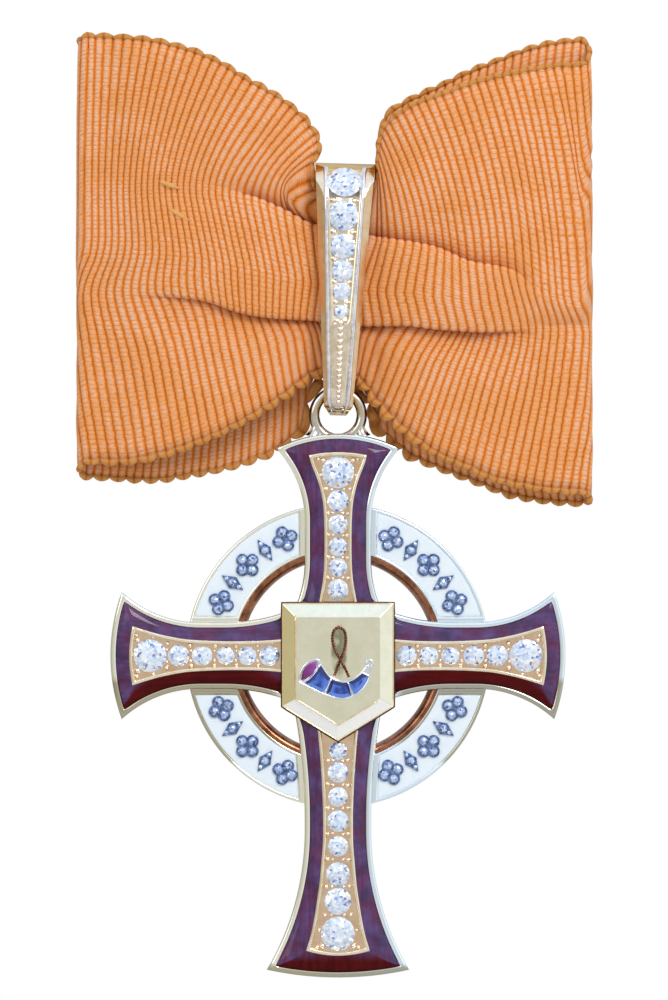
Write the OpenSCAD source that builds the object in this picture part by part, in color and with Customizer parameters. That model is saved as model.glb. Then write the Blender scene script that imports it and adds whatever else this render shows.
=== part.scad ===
// Honour medal: a gold cross badge with enamel and diamonds, hung by a jewelled bail from a bow of ribbed ribbon.
// Millimetres. +Z is up, the front faces -Y, and the origin is on the stem of the brooch pin behind the bow.

/* [Cross] */
// Drop from the pin to the axis that the cross swings on
axis_drop = 15.7; // [15.2:0.1:16.2]
// Depth of the cross's middle plane in front of the pin
cross_depth = 6.5; // [6.4:0.1:6.6]
// Drop from the swing axis to the centre of the cross
centre_drop = 29.4; // [29:0.1:31]
// Reach of the top arm from the centre of the cross
top_reach = 24.6; // [24.2:0.1:25]
// Reach of each side arm
side_reach = 25.2; // [24.6:0.1:25.8]
// Reach of the bottom arm
bottom_reach = 35.7; // [34:0.1:37]
// Half of an arm's width at its narrowest
neck = 3.6; // [3.4:0.05:3.8]
// Width of the outer gold rim
rim_w = 0.55; // [0.4:0.05:0.7]
// Width of the dark enamel border
band_w = 1.42; // [1.2:0.02:1.5]
// Width of the thin gold rim inside the border
crest_w = 0.3; // [0.2:0.05:0.35]
// Thickness behind the middle plane
cross_back = 1.3; // [1.1:0.05:1.3]

/* [Ring] */
// Outer radius of the ring between the arms
ring_outer_r = 16.8; // [16:0.1:17.5]
// Inner radius of the ring
ring_inner_r = 10.8; // [10.4:0.1:11.2]
// Width of the ring's outer gold rim
ring_rim_w = 0.6; // [0.4:0.05:0.8]
// Width of the flat gold rim inside the white field
ring_lip_w = 0.85; // [0.6:0.05:1]
// Width of the bevel down to the ring's inner edge
ring_bevel_w = 0.65; // [0.4:0.05:0.8]
// Width of the gold border that keeps the white field off each arm
ring_side_w = 0.8; // [0.6:0.05:1]

/* [Hanging ring] */
// Radius of the hanging ring's wire
wire_r = 0.55; // [0.45:0.05:0.6]
// Radius of the hole in the hanging ring
hole_r = 2.1; // [2.05:0.05:2.3]

/* [Shield] */
// Half of the shield's width
shield_half_w = 6.15; // [6.05:0.05:6.6]
// Height of the shield's top edge above the centre
shield_top = 5.8; // [5.6:0.1:6.2]
// Depth of the shield's lower corners below the centre
shield_side = 5.6; // [5.4:0.1:6]
// Depth of the shield's point below the centre
shield_foot = 9.4; // [9:0.1:10]
// Width of the shield's bevelled border
bevel_w = 1.5; // [1.2:0.05:1.7]
// Height of the flat face in front of the middle plane
shield_face = 2.7; // [2.4:0.1:3]

/* [Bail] */
// Height of the top of the bail above the pin
bail_top = 9.7; // [9.5:0.1:10]
// Depth of the bail's lowest point below the pin
bail_foot = 18.4; // [18.2:0.1:18.6]
// Half of the bail's width at its top
bail_half_top = 3.4; // [3.2:0.1:3.6]
// Half of the bail's width near its foot
bail_half_foot = 1.6; // [1.5:0.05:1.7]
// Depth of the bail's front face in front of the pin
bail_front = 10.4; // [10.3:0.1:10.8]
// Depth of the bail's back face in front of the pin
bail_back = 3.4; // [3.4:0.05:3.5]
// Lean of the bail to the right, in degrees
bail_lean = 1.6; // [0:0.1:2]

/* [Ribbon] */
// Thickness of the ribbon's wall
ribbon_wall = 1; // [1:0.1:1.1]
// Left end of the bow
ribbon_left = -28.9; // [-30:0.1:-28]
// Right end of the bow
ribbon_right = 28; // [27:0.1:29]
// Height of each loop of the knotted selvedge
picot = 0.4; // [0:0.05:0.6]

/* [Pin] */
// Length of the pin's bar
pin_bar = 30; // [26:1:34]
// Radius of the pin's stem
pin_stem_r = 0.45; // [0.4:0.05:0.5]

/* [Hidden] */
$fn = 64;

gold = "#d8b878";
pale_gold = "#e4dcc4";
silver = "#c8ccd8";
dark_enamel = "#4a2050";
white_enamel = "#e8f2fc";
diamond = "#dfeaf8";
ruby = "#a01858";
sapphire = "#2848a8";
copper = "#8a5a3c";
silk = "#e59050";

// Clearance between an inlaid piece and its cell
inlay_gap = 0.04;
// Small overlap that joins solids and clears cuts
eps = 0.05;
// Size of a block that cuts away all it reaches
far = 60;

// Heights in front of the cross's middle plane
bed_z = 0.15;
rim_z = 0.75;
plate_z = 1;
crest_z = 1.35;
ring_bed_z = 0;
ring_enamel_z = 0.4;
ring_rim_z = 0.5;
mount_t = 0.3;
// Depth of the dark enamel under the tops of its rims
enamel_dip = 0.1;
shield_base_z = 1.4;
shield_edge_z = 1.9;

// Columns of an arm: its turn, its reach, the radius of its end arc, then where each of its two side arcs starts
TURN = 0;
REACH = 1;
END_R = 2;
FLARE_AT = 3;
FLARE_R = 4;
ROOT_AT = 5;
ROOT_R = 6;
arms = [
    [90, top_reach, 15.4, 15, 11.9, 10.6, 13.7],
    [0, side_reach, 20.6, 15.3, 13.1, 12.6, 20],
    [270, bottom_reach, 36.7, 19.4, 30.9, 18.3, 66],
    [180, side_reach, 20.6, 15.3, 13.1, 12.6, 20]
];
// Distance from the centre where the enamel borders start, under the shield
border_start = 5.3;

// Columns of a stone: its distance from the centre of the cross and its diameter
AT = 0;
SIZE = 1;
top_stones = [[20.4, 3.6], [17.2, 2.4], [14.6, 2.2], [12.1, 2.1], [9.8, 2.1], [7.3, 2.4]];
side_stones = [[7.6, 2.3], [10.1, 2.1], [12.5, 2], [15.1, 2.3], [17.7, 2.4], [20.9, 3.7]];
bottom_stones = [
    [10.6, 2], [13, 2.3], [15.7, 2.2], [18.4, 2.4], [21.2, 2.3], [24.3, 2.7], [27.3, 3], [30.9, 3.8]
];
stone_rows = [top_stones, side_stones, bottom_stones, side_stones];
// Height of each bail stone above the pin, and its diameter
bail_stones = [[7.4, 3.9], [3.7, 3.3], [0.3, 2.8], [-2.4, 2.4], [-4.7, 1.9], [-6.9, 1.5]];

// Proportions of a cut stone, as shares of its radius
table_share = 0.52;
crown_share = 0.3;
girdle_share = 0.08;
pavilion_share = 0.58;
seat_share = 0.95;
girdle_lift = 0.04;

// Share of the way from a to b
function mix(a, b, t) = a + (b - a) * t;
// One column of a table, read at a place between its rows
function read(table, column, at) = lookup(at, [for (row = table) [row[0], row[column]]]);
// A smooth curve through points, with a few steps between each two
function curve_point(a, b, c, d, t) =
    0.5 * (2 * b + (c - a) * t + (2 * a - 5 * b + 4 * c - d) * t * t + (3 * b - a - 3 * c + d) * t * t * t);
function curve(points, steps) = [
    for (i = [0 : len(points) - 2], k = [0 : steps - 1])
        curve_point(points[max(i - 1, 0)], points[i], points[i + 1],
            points[min(i + 2, len(points) - 1)], k / steps),
    points[len(points) - 1]
];
function flat(p) = [p[0], p[1]];
function unit(v) = v / norm(v);
// The direction of a flat curve at one of its points, turned a quarter to its left
function side_of(points, i) =
    let (d = unit(flat(points[min(i + 1, len(points) - 1)]) - flat(points[max(i - 1, 0)]))) [-d[1], d[0]];
// The outline of a flat strip whose points are x, y and half-width
function strip(points) = concat(
    [for (i = [0 : len(points) - 1]) flat(points[i]) - side_of(points, i) * points[i][2]],
    [for (i = [len(points) - 1 : -1 : 0]) flat(points[i]) + side_of(points, i) * points[i][2]]
);

// A solid through rings that have the same number of points, closed by its end rings or in a loop
module loft(rings, looped = false) {
    m = len(rings[0]);
    n = len(rings);
    sides = [
        for (i = [0 : n - (looped ? 1 : 2)], j = [0 : m - 1])
            let (a = i * m + j, b = i * m + (j + 1) % m, c = ((i + 1) % n) * m)
            each [[a, b, c + (j + 1) % m], [a, c + (j + 1) % m, c + j]]
    ];
    caps = looped ? [] : [[for (j = [m - 1 : -1 : 0]) j], [for (j = [0 : m - 1]) (n - 1) * m + j]];
    polyhedron(points = [for (ring = rings) each ring], faces = concat(sides, caps), convexity = 8);
}

// Places what is drawn flat, facing +Z, on the cross's middle plane, facing the front
module on_cross() {
    translate([0, -cross_depth, -axis_drop - centre_drop])
        rotate([90, 0, 0])
            children();
}

// A cut stone that faces +Z, its girdle just above z 0, with a table and 24 crown facets
module stone(d) {
    r = d / 2;
    girdle = girdle_lift + girdle_share * r;
    table = [
        for (k = [0 : 7]) [table_share * r * cos(45 * k), table_share * r * sin(45 * k), girdle + crown_share * r]
    ];
    upper = [for (k = [0 : 15]) [r * cos(22.5 * k), r * sin(22.5 * k), girdle]];
    lower = [for (k = [0 : 15]) [r * cos(22.5 * k), r * sin(22.5 * k), girdle_lift]];
    culet = [0, 0, girdle_lift - pavilion_share * r];
    crown = [
        for (k = [0 : 7])
            let (t = k, u = (k + 1) % 8, g = 8 + 2 * k, before = 8 + (2 * k + 15) % 16)
            each [[t, g, before], [t, g + 1, g], [t, u, g + 1]]
    ];
    girdle_faces = [
        for (k = [0 : 15])
            let (next = (k + 1) % 16)
            each [[8 + k, 8 + next, 24 + next], [8 + k, 24 + next, 24 + k]]
    ];
    pavilion = [for (k = [0 : 15]) [24 + k, 24 + (k + 1) % 16, 40]];
    polyhedron(
        points = concat(table, upper, lower, [culet]),
        faces = concat([[for (k = [7 : -1 : 0]) k]], crown, girdle_faces, pavilion)
    );
}

// A rose-cut stone: flat below, domed in two rows of facets
module rose(d) {
    r = d / 2;
    foot = [for (k = [0 : 7]) [r * cos(45 * k), r * sin(45 * k), 0]];
    waist = [for (k = [0 : 7]) [0.68 * r * cos(45 * k + 22.5), 0.68 * r * sin(45 * k + 22.5), 0.42 * r]];
    loft_faces = [
        for (k = [0 : 7])
            let (next = (k + 1) % 8)
            each [[k, 8 + k, next], [next, 8 + k, 8 + next], [8 + k, 16, 8 + next]]
    ];
    polyhedron(
        points = concat(foot, waist, [[0, 0, 0.66 * r]]),
        faces = concat([[for (k = [0 : 7]) k]], loft_faces)
    );
}

// The outline of one arm, drawn from the centre outwards and set in from its edge
module arm_2d(arm, inset) {
    rotate(arm[TURN])
        difference() {
            intersection() {
                translate([arm[REACH] - arm[END_R], 0])
                    circle(r = arm[END_R] - inset);
                translate([0, -arm[END_R]])
                    square([arm[REACH], 2 * arm[END_R]]);
            }
            for (side = [-1, 1]) {
                intersection() {
                    translate([arm[FLARE_AT], side * (neck + arm[FLARE_R])])
                        circle(r = arm[FLARE_R] + inset);
                    translate([arm[FLARE_AT] - eps, -far])
                        square(2 * far);
                }
                intersection() {
                    translate([arm[ROOT_AT], side * (neck + arm[ROOT_R])])
                        circle(r = arm[ROOT_R] + inset);
                    translate([arm[ROOT_AT] + eps - 2 * far, -far])
                        square(2 * far);
                }
                translate([arm[ROOT_AT], side > 0 ? neck - inset : inset - neck - arm[END_R]])
                    square([arm[FLARE_AT] - arm[ROOT_AT], arm[END_R]]);
            }
        }
}

module cross_2d(inset) {
    for (arm = arms)
        arm_2d(arm, inset);
}

// Where an arm's flare meets its end arc, when both are set in
function arm_corner(arm, inset) =
    let (
        e = [arm[REACH] - arm[END_R], 0],
        f = [arm[FLARE_AT], neck + arm[FLARE_R]],
        re = arm[END_R] - inset,
        rf = arm[FLARE_R] + inset,
        span = norm(f - e),
        along = (re * re - rf * rf + span * span) / (2 * span),
        off = sqrt(re * re - along * along),
        d = unit(f - e)
    )
    e + along * d + off * [d[1], -d[0]];
// Half of an arm's edge, from under the shield to its corner
function arm_side(arm, inset) =
    let (
        corner = arm_corner(arm, inset),
        root_r = arm[ROOT_R] + inset,
        flare_r = arm[FLARE_R] + inset,
        turn = atan2(corner[0] - arm[FLARE_AT], neck + arm[FLARE_R] - corner[1])
    )
    concat(
        [
            for (k = [0 : 4])
                let (x = mix(border_start, arm[ROOT_AT], k / 5), dx = x - arm[ROOT_AT])
                [x, neck + arm[ROOT_R] - sqrt(root_r * root_r - dx * dx)]
        ],
        [[arm[ROOT_AT], neck - inset]],
        [
            for (k = [0 : 10])
                let (a = turn * k / 10)
                [arm[FLARE_AT] + flare_r * sin(a), neck + arm[FLARE_R] - flare_r * cos(a)]
        ]
    );
// The whole edge of an arm, along one side, round its end and back
function arm_edge(arm, inset) =
    let (
        side = arm_side(arm, inset),
        corner = arm_corner(arm, inset),
        x = arm[REACH] - arm[END_R],
        a = atan2(corner[1], corner[0] - x),
        r = arm[END_R] - inset
    )
    concat(
        side,
        [for (k = [1 : 11]) let (b = mix(a, -a, k / 12)) [x + r * cos(b), r * sin(b)]],
        [for (k = [len(side) - 1 : -1 : 0]) [side[k][0], -side[k][1]]]
    );

// The dark enamel of one arm: a border that rises from the outer rim to the crest
module arm_enamel(arm) {
    outer = arm_edge(arm, rim_w + inlay_gap);
    inner = arm_edge(arm, rim_w + band_w - inlay_gap);
    color(dark_enamel)
        on_cross()
            rotate(arm[TURN])
                loft([
                    for (k = [0 : len(outer) - 1]) [
                        [outer[k][0], outer[k][1], bed_z + inlay_gap],
                        [inner[k][0], inner[k][1], bed_z + inlay_gap],
                        [inner[k][0], inner[k][1], crest_z - enamel_dip],
                        [outer[k][0], outer[k][1], rim_z - enamel_dip]
                    ]
                ]);
}

// The white field of the ring, between the arms
module ring_field_2d(inset) {
    difference() {
        circle(r = ring_outer_r - ring_rim_w - inset);
        circle(r = ring_inner_r + ring_bevel_w + ring_lip_w + inset);
        cross_2d(-ring_side_w - inset);
    }
}

module ring_enamel(quarter) {
    color(white_enamel)
        on_cross()
            translate([0, 0, ring_bed_z + inlay_gap])
                linear_extrude(ring_enamel_z - ring_bed_z - inlay_gap)
                    intersection() {
                        ring_field_2d(inlay_gap);
                        rotate(90 * quarter)
                            square(ring_outer_r);
                    }
}

// The ornaments of a quarter stand on this radius, at these angles from its middle
mount_r = (ring_outer_r - ring_rim_w + ring_inner_r + ring_bevel_w + ring_lip_w) / 2;
leaf_angles = [-20.6, 0, 20.6];
lozenge_angles = [-10.3, 10.3];
petal_r = 0.7;
petal_off = 0.78;
lozenge_w = 1.5;
lozenge_h = 2.9;
// Diameters of the stones on a petal, in the middle of a lozenge and at its tips
petal_stone = 0.98;
lozenge_stone = 0.9;
tip_stone = 0.5;
tip_off = 0.82;

// Puts something on the ring's ornament circle, its own +Y pointing outwards
module on_ring(quarter, angle, z) {
    on_cross()
        rotate(90 * quarter - 45 + angle)
            translate([0, mount_r, z])
                children();
}

// Silver ornaments of a quarter: four-leaved flowers with lozenges between them
module ring_mounts(quarter) {
    z = ring_enamel_z + inlay_gap;
    color(silver) {
        for (angle = leaf_angles)
            on_ring(quarter, angle, z)
                linear_extrude(mount_t)
                    union() {
                        for (k = [0 : 3])
                            rotate(90 * k)
                                translate([petal_off, 0])
                                    circle(r = petal_r);
                        circle(r = petal_off);
                    }
        for (angle = lozenge_angles)
            on_ring(quarter, angle, z)
                linear_extrude(mount_t)
                    polygon([[-lozenge_w / 2, 0], [0, -lozenge_h / 2], [lozenge_w / 2, 0], [0, lozenge_h / 2]]);
    }
}

module ring_stones(quarter) {
    z = ring_enamel_z + mount_t + 2 * inlay_gap;
    color(diamond) {
        for (angle = leaf_angles, k = [0 : 3])
            on_ring(quarter, angle, z)
                rotate(90 * k)
                    translate([petal_off, 0])
                        rose(petal_stone);
        for (angle = lozenge_angles, k = [-1 : 1])
            on_ring(quarter, angle, z)
                translate([0, tip_off * k])
                    rose(k == 0 ? lozenge_stone : tip_stone);
    }
}

// The gold frame: flared arms with rims and stone plates, the ring, and the hanging ring, soldered together
module cross() {
    ring_y = centre_drop - hole_r - wire_r;
    color(gold)
        on_cross()
            difference() {
                union() {
                    translate([0, 0, -cross_back])
                        linear_extrude(cross_back + bed_z)
                            cross_2d(0);
                    translate([0, 0, bed_z - eps])
                        linear_extrude(rim_z - bed_z + eps)
                            difference() {
                                cross_2d(0);
                                cross_2d(rim_w);
                            }
                    translate([0, 0, bed_z - eps])
                        linear_extrude(plate_z - bed_z + eps)
                            cross_2d(rim_w + band_w);
                    translate([0, 0, plate_z - eps])
                        linear_extrude(crest_z - plate_z + eps)
                            difference() {
                                cross_2d(rim_w + band_w);
                                cross_2d(rim_w + band_w + crest_w);
                            }
                    ring_body();
                    difference() {
                        translate([0, ring_y, 0])
                            rotate_extrude()
                                translate([hole_r + wire_r, 0])
                                    circle(r = wire_r, $fn = 32);
                        translate([0, 0, bed_z])
                            linear_extrude(rim_z)
                                arm_2d(arms[0], rim_w);
                    }
                    ring_legs(ring_y);
                }
                for (k = [0 : 3], gem = stone_rows[k])
                    rotate(arms[k][TURN])
                        translate([gem[AT], 0, -cross_back - eps])
                            cylinder(h = cross_back + crest_z, r = seat_share * gem[SIZE] / 2);
            }
}

// The ring behind the arms, with its white cells cut out and its inner edge bevelled
module ring_body() {
    lip_r = ring_inner_r + ring_bevel_w;
    difference() {
        translate([0, 0, -cross_back])
            cylinder(h = cross_back + ring_rim_z, r = ring_outer_r);
        translate([0, 0, -cross_back - eps])
            cylinder(h = cross_back + ring_rim_z + 2 * eps, r = ring_inner_r);
        translate([0, 0, ring_rim_z - ring_bevel_w])
            cylinder(h = ring_bevel_w + eps, r1 = ring_inner_r, r2 = lip_r + eps);
        translate([0, 0, ring_bed_z])
            linear_extrude(ring_rim_z)
                ring_field_2d(0);
        translate([0, 0, -cross_back - eps])
            linear_extrude(cross_back + ring_rim_z + 2 * eps)
                cross_2d(rim_w / 2);
    }
}

// The legs that solder the hanging ring to the top arm: how far they sink into it, rise and curve in
leg_sink = 0.5;
leg_rise = 1.3;
leg_curve_r = 1.15;
leg_curve_out = 0.9;

module ring_legs(ring_y) {
    leg_w = hole_r + 2 * wire_r;
    foot_y = top_reach - leg_sink;
    translate([0, 0, -wire_r])
        linear_extrude(2 * wire_r - 0.1)
            difference() {
                translate([-leg_w, foot_y])
                    square([2 * leg_w, ring_y - leg_rise - foot_y]);
                translate([0, ring_y])
                    circle(r = hole_r + 0.1);
                for (side = [-1, 1])
                    translate([side * (leg_w + leg_curve_out), ring_y + eps - leg_curve_r])
                        circle(r = leg_curve_r);
            }
}

module cross_stone(k, i) {
    gem = stone_rows[k][i];
    color(diamond)
        on_cross()
            rotate(arms[k][TURN])
                translate([gem[AT], 0, plate_z])
                    stone(gem[SIZE]);
}

// The shield's outline, a pentagon, set in from its edge and at a height
function shield_edge(inset, z) =
    let (
        fall = (shield_foot - shield_side) / shield_half_w,
        w = shield_half_w - inset,
        top = shield_top - inset,
        foot = inset * sqrt(1 + fall * fall) - shield_foot,
        shoulder = foot + fall * w
    )
    [[w, top, z], [-w, top, z], [-w, shoulder, z], [0, foot, z], [w, shoulder, z]];

module shield() {
    rings = [
        shield_edge(0, shield_base_z + inlay_gap),
        shield_edge(0, shield_edge_z),
        shield_edge(bevel_w, shield_face)
    ];
    color(pale_gold)
        on_cross()
            loft(rings);
}

// Columns of a horn section: its x and y on the shield, and half of its width there
horn_sections = [
    [-3.3, -1.62, 1.75], [-2.15, -2.65, 1.3], [-1.1, -3.35, 1.06], [0.5, -3.8, 1],
    [1.85, -3.4, 0.88], [2.8, -2.5, 0.68], [3.3, -1.55, 0.4], [3.45, -1.05, 0.3]
];
horn_steps = 5;
horn_line = curve(horn_sections, horn_steps);
horn_t = 0.45;
// Width of the silver along the horn's edges
horn_rim = 0.24;
// First and last point of the horn's line under each sapphire
sapphire_spans = [[3, 9], [11, 17], [19, 26]];
// The eye at the horn's mouthpiece
eye_x = 3.5;
eye_y = -0.8;
eye_r = 0.47;
eye_hole_r = 0.2;
ruby_x = -3.2;
ruby_y = -1.62;
ruby_long = 2.9;
ruby_wide = 1.25;
ruby_turn = 51;
// Silver round the ruby, at its points and at its sides
cell_tip = 0.3;
cell_wall = 0.2;

// The outline of one sapphire: a stretch of the horn between its rims, set in by a gap all round
function sapphire_outline(i, gap) =
    let (from = sapphire_spans[i][0], to = sapphire_spans[i][1])
    strip([
        for (k = [from : to])
            let (
                ahead = unit(flat(horn_line[min(k + 1, to)]) - flat(horn_line[max(k - 1, from)])),
                p = flat(horn_line[k]) + (k == from ? gap : k == to ? -gap : 0) * ahead
            )
            [p[0], p[1], horn_line[k][2] - horn_rim - gap]
    ]);
function middle(points) = [for (p = points) 1] * points / len(points);

// The silver horn: a crescent with three cells along it, a cell for the ruby in its bell and an eye at its mouthpiece
module horn() {
    color(silver)
        on_cross()
            translate([0, 0, shield_face + inlay_gap])
                linear_extrude(horn_t)
                    difference() {
                        union() {
                            polygon(strip(horn_line));
                            translate([ruby_x, ruby_y])
                                rotate(ruby_turn)
                                    marquise_2d(ruby_long / 2 + cell_tip, ruby_wide / 2 + cell_wall);
                            translate([eye_x, eye_y])
                                circle(r = eye_r);
                        }
                        for (i = [0 : 2])
                            polygon(sapphire_outline(i, 0));
                        translate([ruby_x, ruby_y])
                            rotate(ruby_turn)
                                marquise_2d(ruby_long / 2, ruby_wide / 2);
                        translate([eye_x, eye_y])
                            circle(r = eye_hole_r);
                    }
}

// A pointed oval from two arcs
module marquise_2d(half_long, half_wide) {
    r = (half_long * half_long + half_wide * half_wide) / (2 * half_wide);
    intersection() {
        translate([0, r - half_wide])
            circle(r = r);
        translate([0, half_wide - r])
            circle(r = r);
    }
}

// A stone cut to fill its cell, with a sloped edge round its table; each step is a share of the outline and a height
cell_steps = [[1, 0.05], [1, 0.5], [0.72, 0.66]];
module cell_stone(outline) {
    centre = middle(outline);
    on_cross()
        translate([0, 0, shield_face + inlay_gap])
            loft([
                for (step = cell_steps)
                    [for (p = outline) let (q = centre + step[0] * (p - centre)) [q[0], q[1], step[1]]]
            ]);
}

module horn_sapphire(i) {
    color(sapphire)
        cell_stone(sapphire_outline(i, inlay_gap));
}

// The ruby: a pointed oval with a table, turned to lie in the horn's bell
module horn_ruby() {
    half_long = ruby_long / 2 - 2 * inlay_gap;
    half_wide = ruby_wide / 2 - inlay_gap;
    outline = [
        for (k = [0 : 15])
            let (
                c = half_long * cos(22.5 * k),
                s = half_wide * (1 - pow(cos(22.5 * k), 2)) * sign(sin(22.5 * k)),
                t = ruby_turn
            )
            [ruby_x + c * cos(t) - s * sin(t), ruby_y + c * sin(t) + s * cos(t)]
    ];
    color(ruby)
        cell_stone(outline);
}

// The loop that the horn hangs by: an oval of twisted wire whose ends cross and run down to the horn
loop_half_w = 0.2;
loop_t = 0.38;
loop_left = [[-0.38, -2.15], [-0.1, -1.4], [0.27, -0.45], [0.75, 0.6], [0.98, 1.8], [0.75, 2.8], [0.1, 3.2]];
loop_right = [[1.2, -2.3], [0.8, -1.4], [0.27, -0.45], [-0.36, 0.6], [-0.72, 1.8], [-0.5, 2.8], [0.1, 3.2]];

module horn_loop() {
    color(copper)
        on_cross()
            translate([0, 0, shield_face + inlay_gap])
                linear_extrude(loop_t)
                    for (strand = [loop_left, loop_right])
                        polygon(strip([for (p = curve(strand, 4)) [p[0], p[1], loop_half_w]]));
}

// The bail's side outline, drawn with y as depth and z as height, set in by the wall
bail_bar_r = (bail_front - bail_back) / 2;
bail_arch_r = 5;
bail_wall_front = 1.55;
bail_wall_back = 0.85;
bail_wall_top = 1.1;
// Where the inside of the bail ends below, beside the round seat of the hanging ring's wire
bail_rest = axis_drop + 0.3;
// Play between the hanging ring's wire and the bail
wire_play = 0.15;

module bail_side_2d(inset) {
    intersection() {
        union() {
            translate([-(bail_front + bail_back) / 2, bail_bar_r - bail_foot])
                circle(r = bail_bar_r - inset);
            translate([inset - bail_front, bail_bar_r - bail_foot])
                square([2 * bail_bar_r - 2 * inset, bail_top - bail_arch_r - bail_bar_r + bail_foot]);
            translate([bail_arch_r - bail_front, bail_top - bail_arch_r])
                circle(r = bail_arch_r - inset);
        }
        translate([inset - bail_front, -bail_foot])
            square([2 * bail_bar_r - 2 * inset, bail_top + bail_foot]);
    }
}

module bail_hole_2d() {
    front = bail_front - bail_wall_front;
    back = bail_back + bail_wall_back;
    r = (front - back) / 2;
    arch = bail_arch_r - bail_wall_top;
    intersection() {
        union() {
            translate([-(front + back) / 2, r - bail_rest])
                circle(r = r);
            translate([-front, r - bail_rest])
                square([front - back, bail_top - bail_arch_r - r + bail_rest]);
            translate([arch - front, bail_top - bail_arch_r])
                circle(r = arch);
        }
        translate([-front, -bail_rest])
            square([front - back, bail_top + bail_rest]);
    }
}

// Extrudes a side outline across the bail
module across(w) {
    rotate([90, 0, 90])
        translate([0, 0, -w / 2])
            linear_extrude(w)
                children();
}

// Extrudes a front outline from the bail's front to its back
module through() {
    translate([0, 1, 0])
        rotate([90, 0, 0])
            linear_extrude(bail_front + 3)
                children();
}

// The bail's tapering front outline, narrowed by an amount on each side
module bail_taper_2d(narrow) {
    half_foot = bail_half_foot - narrow;
    half_top = bail_half_top - narrow;
    polygon([
        [-half_top, bail_top + 1], [half_top, bail_top + 1],
        [half_foot, 1 - bail_foot], [0.55 * half_foot, -bail_foot],
        [-0.55 * half_foot, -bail_foot], [-half_foot, 1 - bail_foot]
    ]);
}

// Width of the slope on each side of the bail's front, then depth of the channel there and width of its rims
bail_slope = 1;
bail_channel = 0.25;
bail_rim = 0.35;
// Height where the channel ends, and how far back from the front it runs over the bail's top
channel_foot = -7.9;
channel_back = 3.5;

// Turns the bail and what is set in it about the hanging ring, so that it leans
module lean() {
    translate([0.1, 0, -axis_drop])
        rotate([0, bail_lean, 0])
            translate([0, 0, axis_drop])
                children();
}

// Cuts the slope along one side of the bail's front
module slope_cut(side) {
    rise = (bail_half_top - bail_half_foot) / (bail_top + bail_foot);
    translate([side * bail_half_top, bail_slope - bail_front, bail_top])
        rotate([0, side * atan(rise), 0])
            rotate([0, 0, -side * 45])
                translate([side > 0 ? 0 : -far, -far / 2, -far / 2])
                    cube(far);
}

// The bail's body with its sloped sides, its channel and its beads
module bail_body() {
    difference() {
        intersection() {
            across(far)
                bail_side_2d(0);
            through()
                bail_taper_2d(0);
        }
        slope_cut(-1);
        slope_cut(1);
        intersection() {
            across(far)
                difference() {
                    bail_side_2d(-1);
                    bail_side_2d(bail_channel);
                }
            translate([0, -bail_front, 0])
                through()
                    bail_taper_2d(bail_slope + bail_rim);
            translate([-far / 2, channel_back - bail_front - far, channel_foot])
                cube(far);
        }
    }
    bail_beads();
}

module bail() {
    color(pale_gold)
        difference() {
            lean()
                difference() {
                    bail_body();
                    across(far)
                        bail_hole_2d();
                    ring_room();
                    for (s = bail_stones)
                        on_bail(s[AT])
                            bail_stone_room(s[SIZE] / 2);
                }
            ring_seat();
        }
}

// Room for a stone on the bail: its seat, and a little play round its girdle
module bail_stone_room(r) {
    translate([0, 0, -bail_wall_front - 1])
        cylinder(h = bail_wall_front + 2, r = seat_share * r);
    cylinder(h = 2, r = r + inlay_gap);
}

// Room for the hanging ring's wire as it turns in the bail: the bar stays inside the ring's hole
module ring_room() {
    r = hole_r + wire_r;
    bar_r = hole_r - wire_play;
    translate([0, -cross_depth, -axis_drop])
        rotate([0, 90, 0])
            rotate_extrude()
                difference() {
                    translate([0, -bar_r])
                        square([r, 2 * bar_r]);
                    translate([r, 0])
                        circle(r = bar_r);
                }
}

// The round seat that the hanging ring's wire turns in
module ring_seat() {
    translate([0, -cross_depth, -axis_drop])
        rotate([0, 90, 0])
            cylinder(h = far, r = wire_r + wire_play, center = true);
}

// Puts something on the floor of the bail's channel at a height, facing outwards
module on_bail(height) {
    above = height - bail_top + bail_arch_r;
    tilt = above > 0 ? asin(above / (bail_arch_r - bail_channel)) : 0;
    translate([0, bail_channel - bail_front + (bail_arch_r - bail_channel) * (1 - cos(tilt)), height])
        rotate([90 - tilt, 0, 0])
            children();
}

module bail_stone(i) {
    s = bail_stones[i];
    color(diamond)
        lean()
            on_bail(s[AT])
                stone(s[SIZE]);
}

// A row of beads that gets smaller towards the bail's foot
bead_top = -8.15;
bead_foot = -16.9;
bead_count = 15;
bead_top_r = 0.36;
bead_foot_r = 0.27;

module bail_beads() {
    for (k = [0 : bead_count - 1]) {
        t = k / (bead_count - 1);
        z = mix(bead_top, bead_foot, t * (1.15 - 0.15 * t));
        depth = z > bail_bar_r - bail_foot ? 0 :
            bail_bar_r - sqrt(pow(bail_bar_r, 2) - pow(bail_bar_r - bail_foot - z, 2));
        translate([0, depth - bail_front + 0.05, z])
            sphere(r = mix(bead_top_r, bead_foot_r, t), $fn = 24);
    }
}

// The ribbon's front layer: x, then the heights of its top and bottom edges, and its depth
front_layer = [
    [-28.9, 23.8, -23.6, 6.8], [-21.8, 23.3, -23, 8.4], [-17.7, 22.4, -21.9, 8.8], [-13.6, 20.9, -20.2, 9],
    [-10.1, 18.8, -18.4, 8.9], [-7.4, 17.3, -16.9, 8.6], [-5.3, 15.9, -15.3, 8.1], [-3.2, 11.5, -14.2, 7.4],
    [-2.85, 6.3, -14, 7.15], [-2, 6.3, -13.6, 7.15], [2, 6.3, -13.6, 7.15], [2.7, 6.3, -15.2, 7.15],
    [4.45, 6.3, -16.1, 7.2], [4.8, 12.4, -16.4, 7.6], [6, 14.8, -18.2, 8.2],
    [7.6, 16, -19.6, 8.6], [10.1, 16.9, -21.6, 8.9], [13, 18, -23.2, 9], [16.9, 18.9, -24.8, 8.8],
    [20.8, 19.9, -25.8, 8.4], [28, 20.8, -26.7, 6.8]
];
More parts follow.
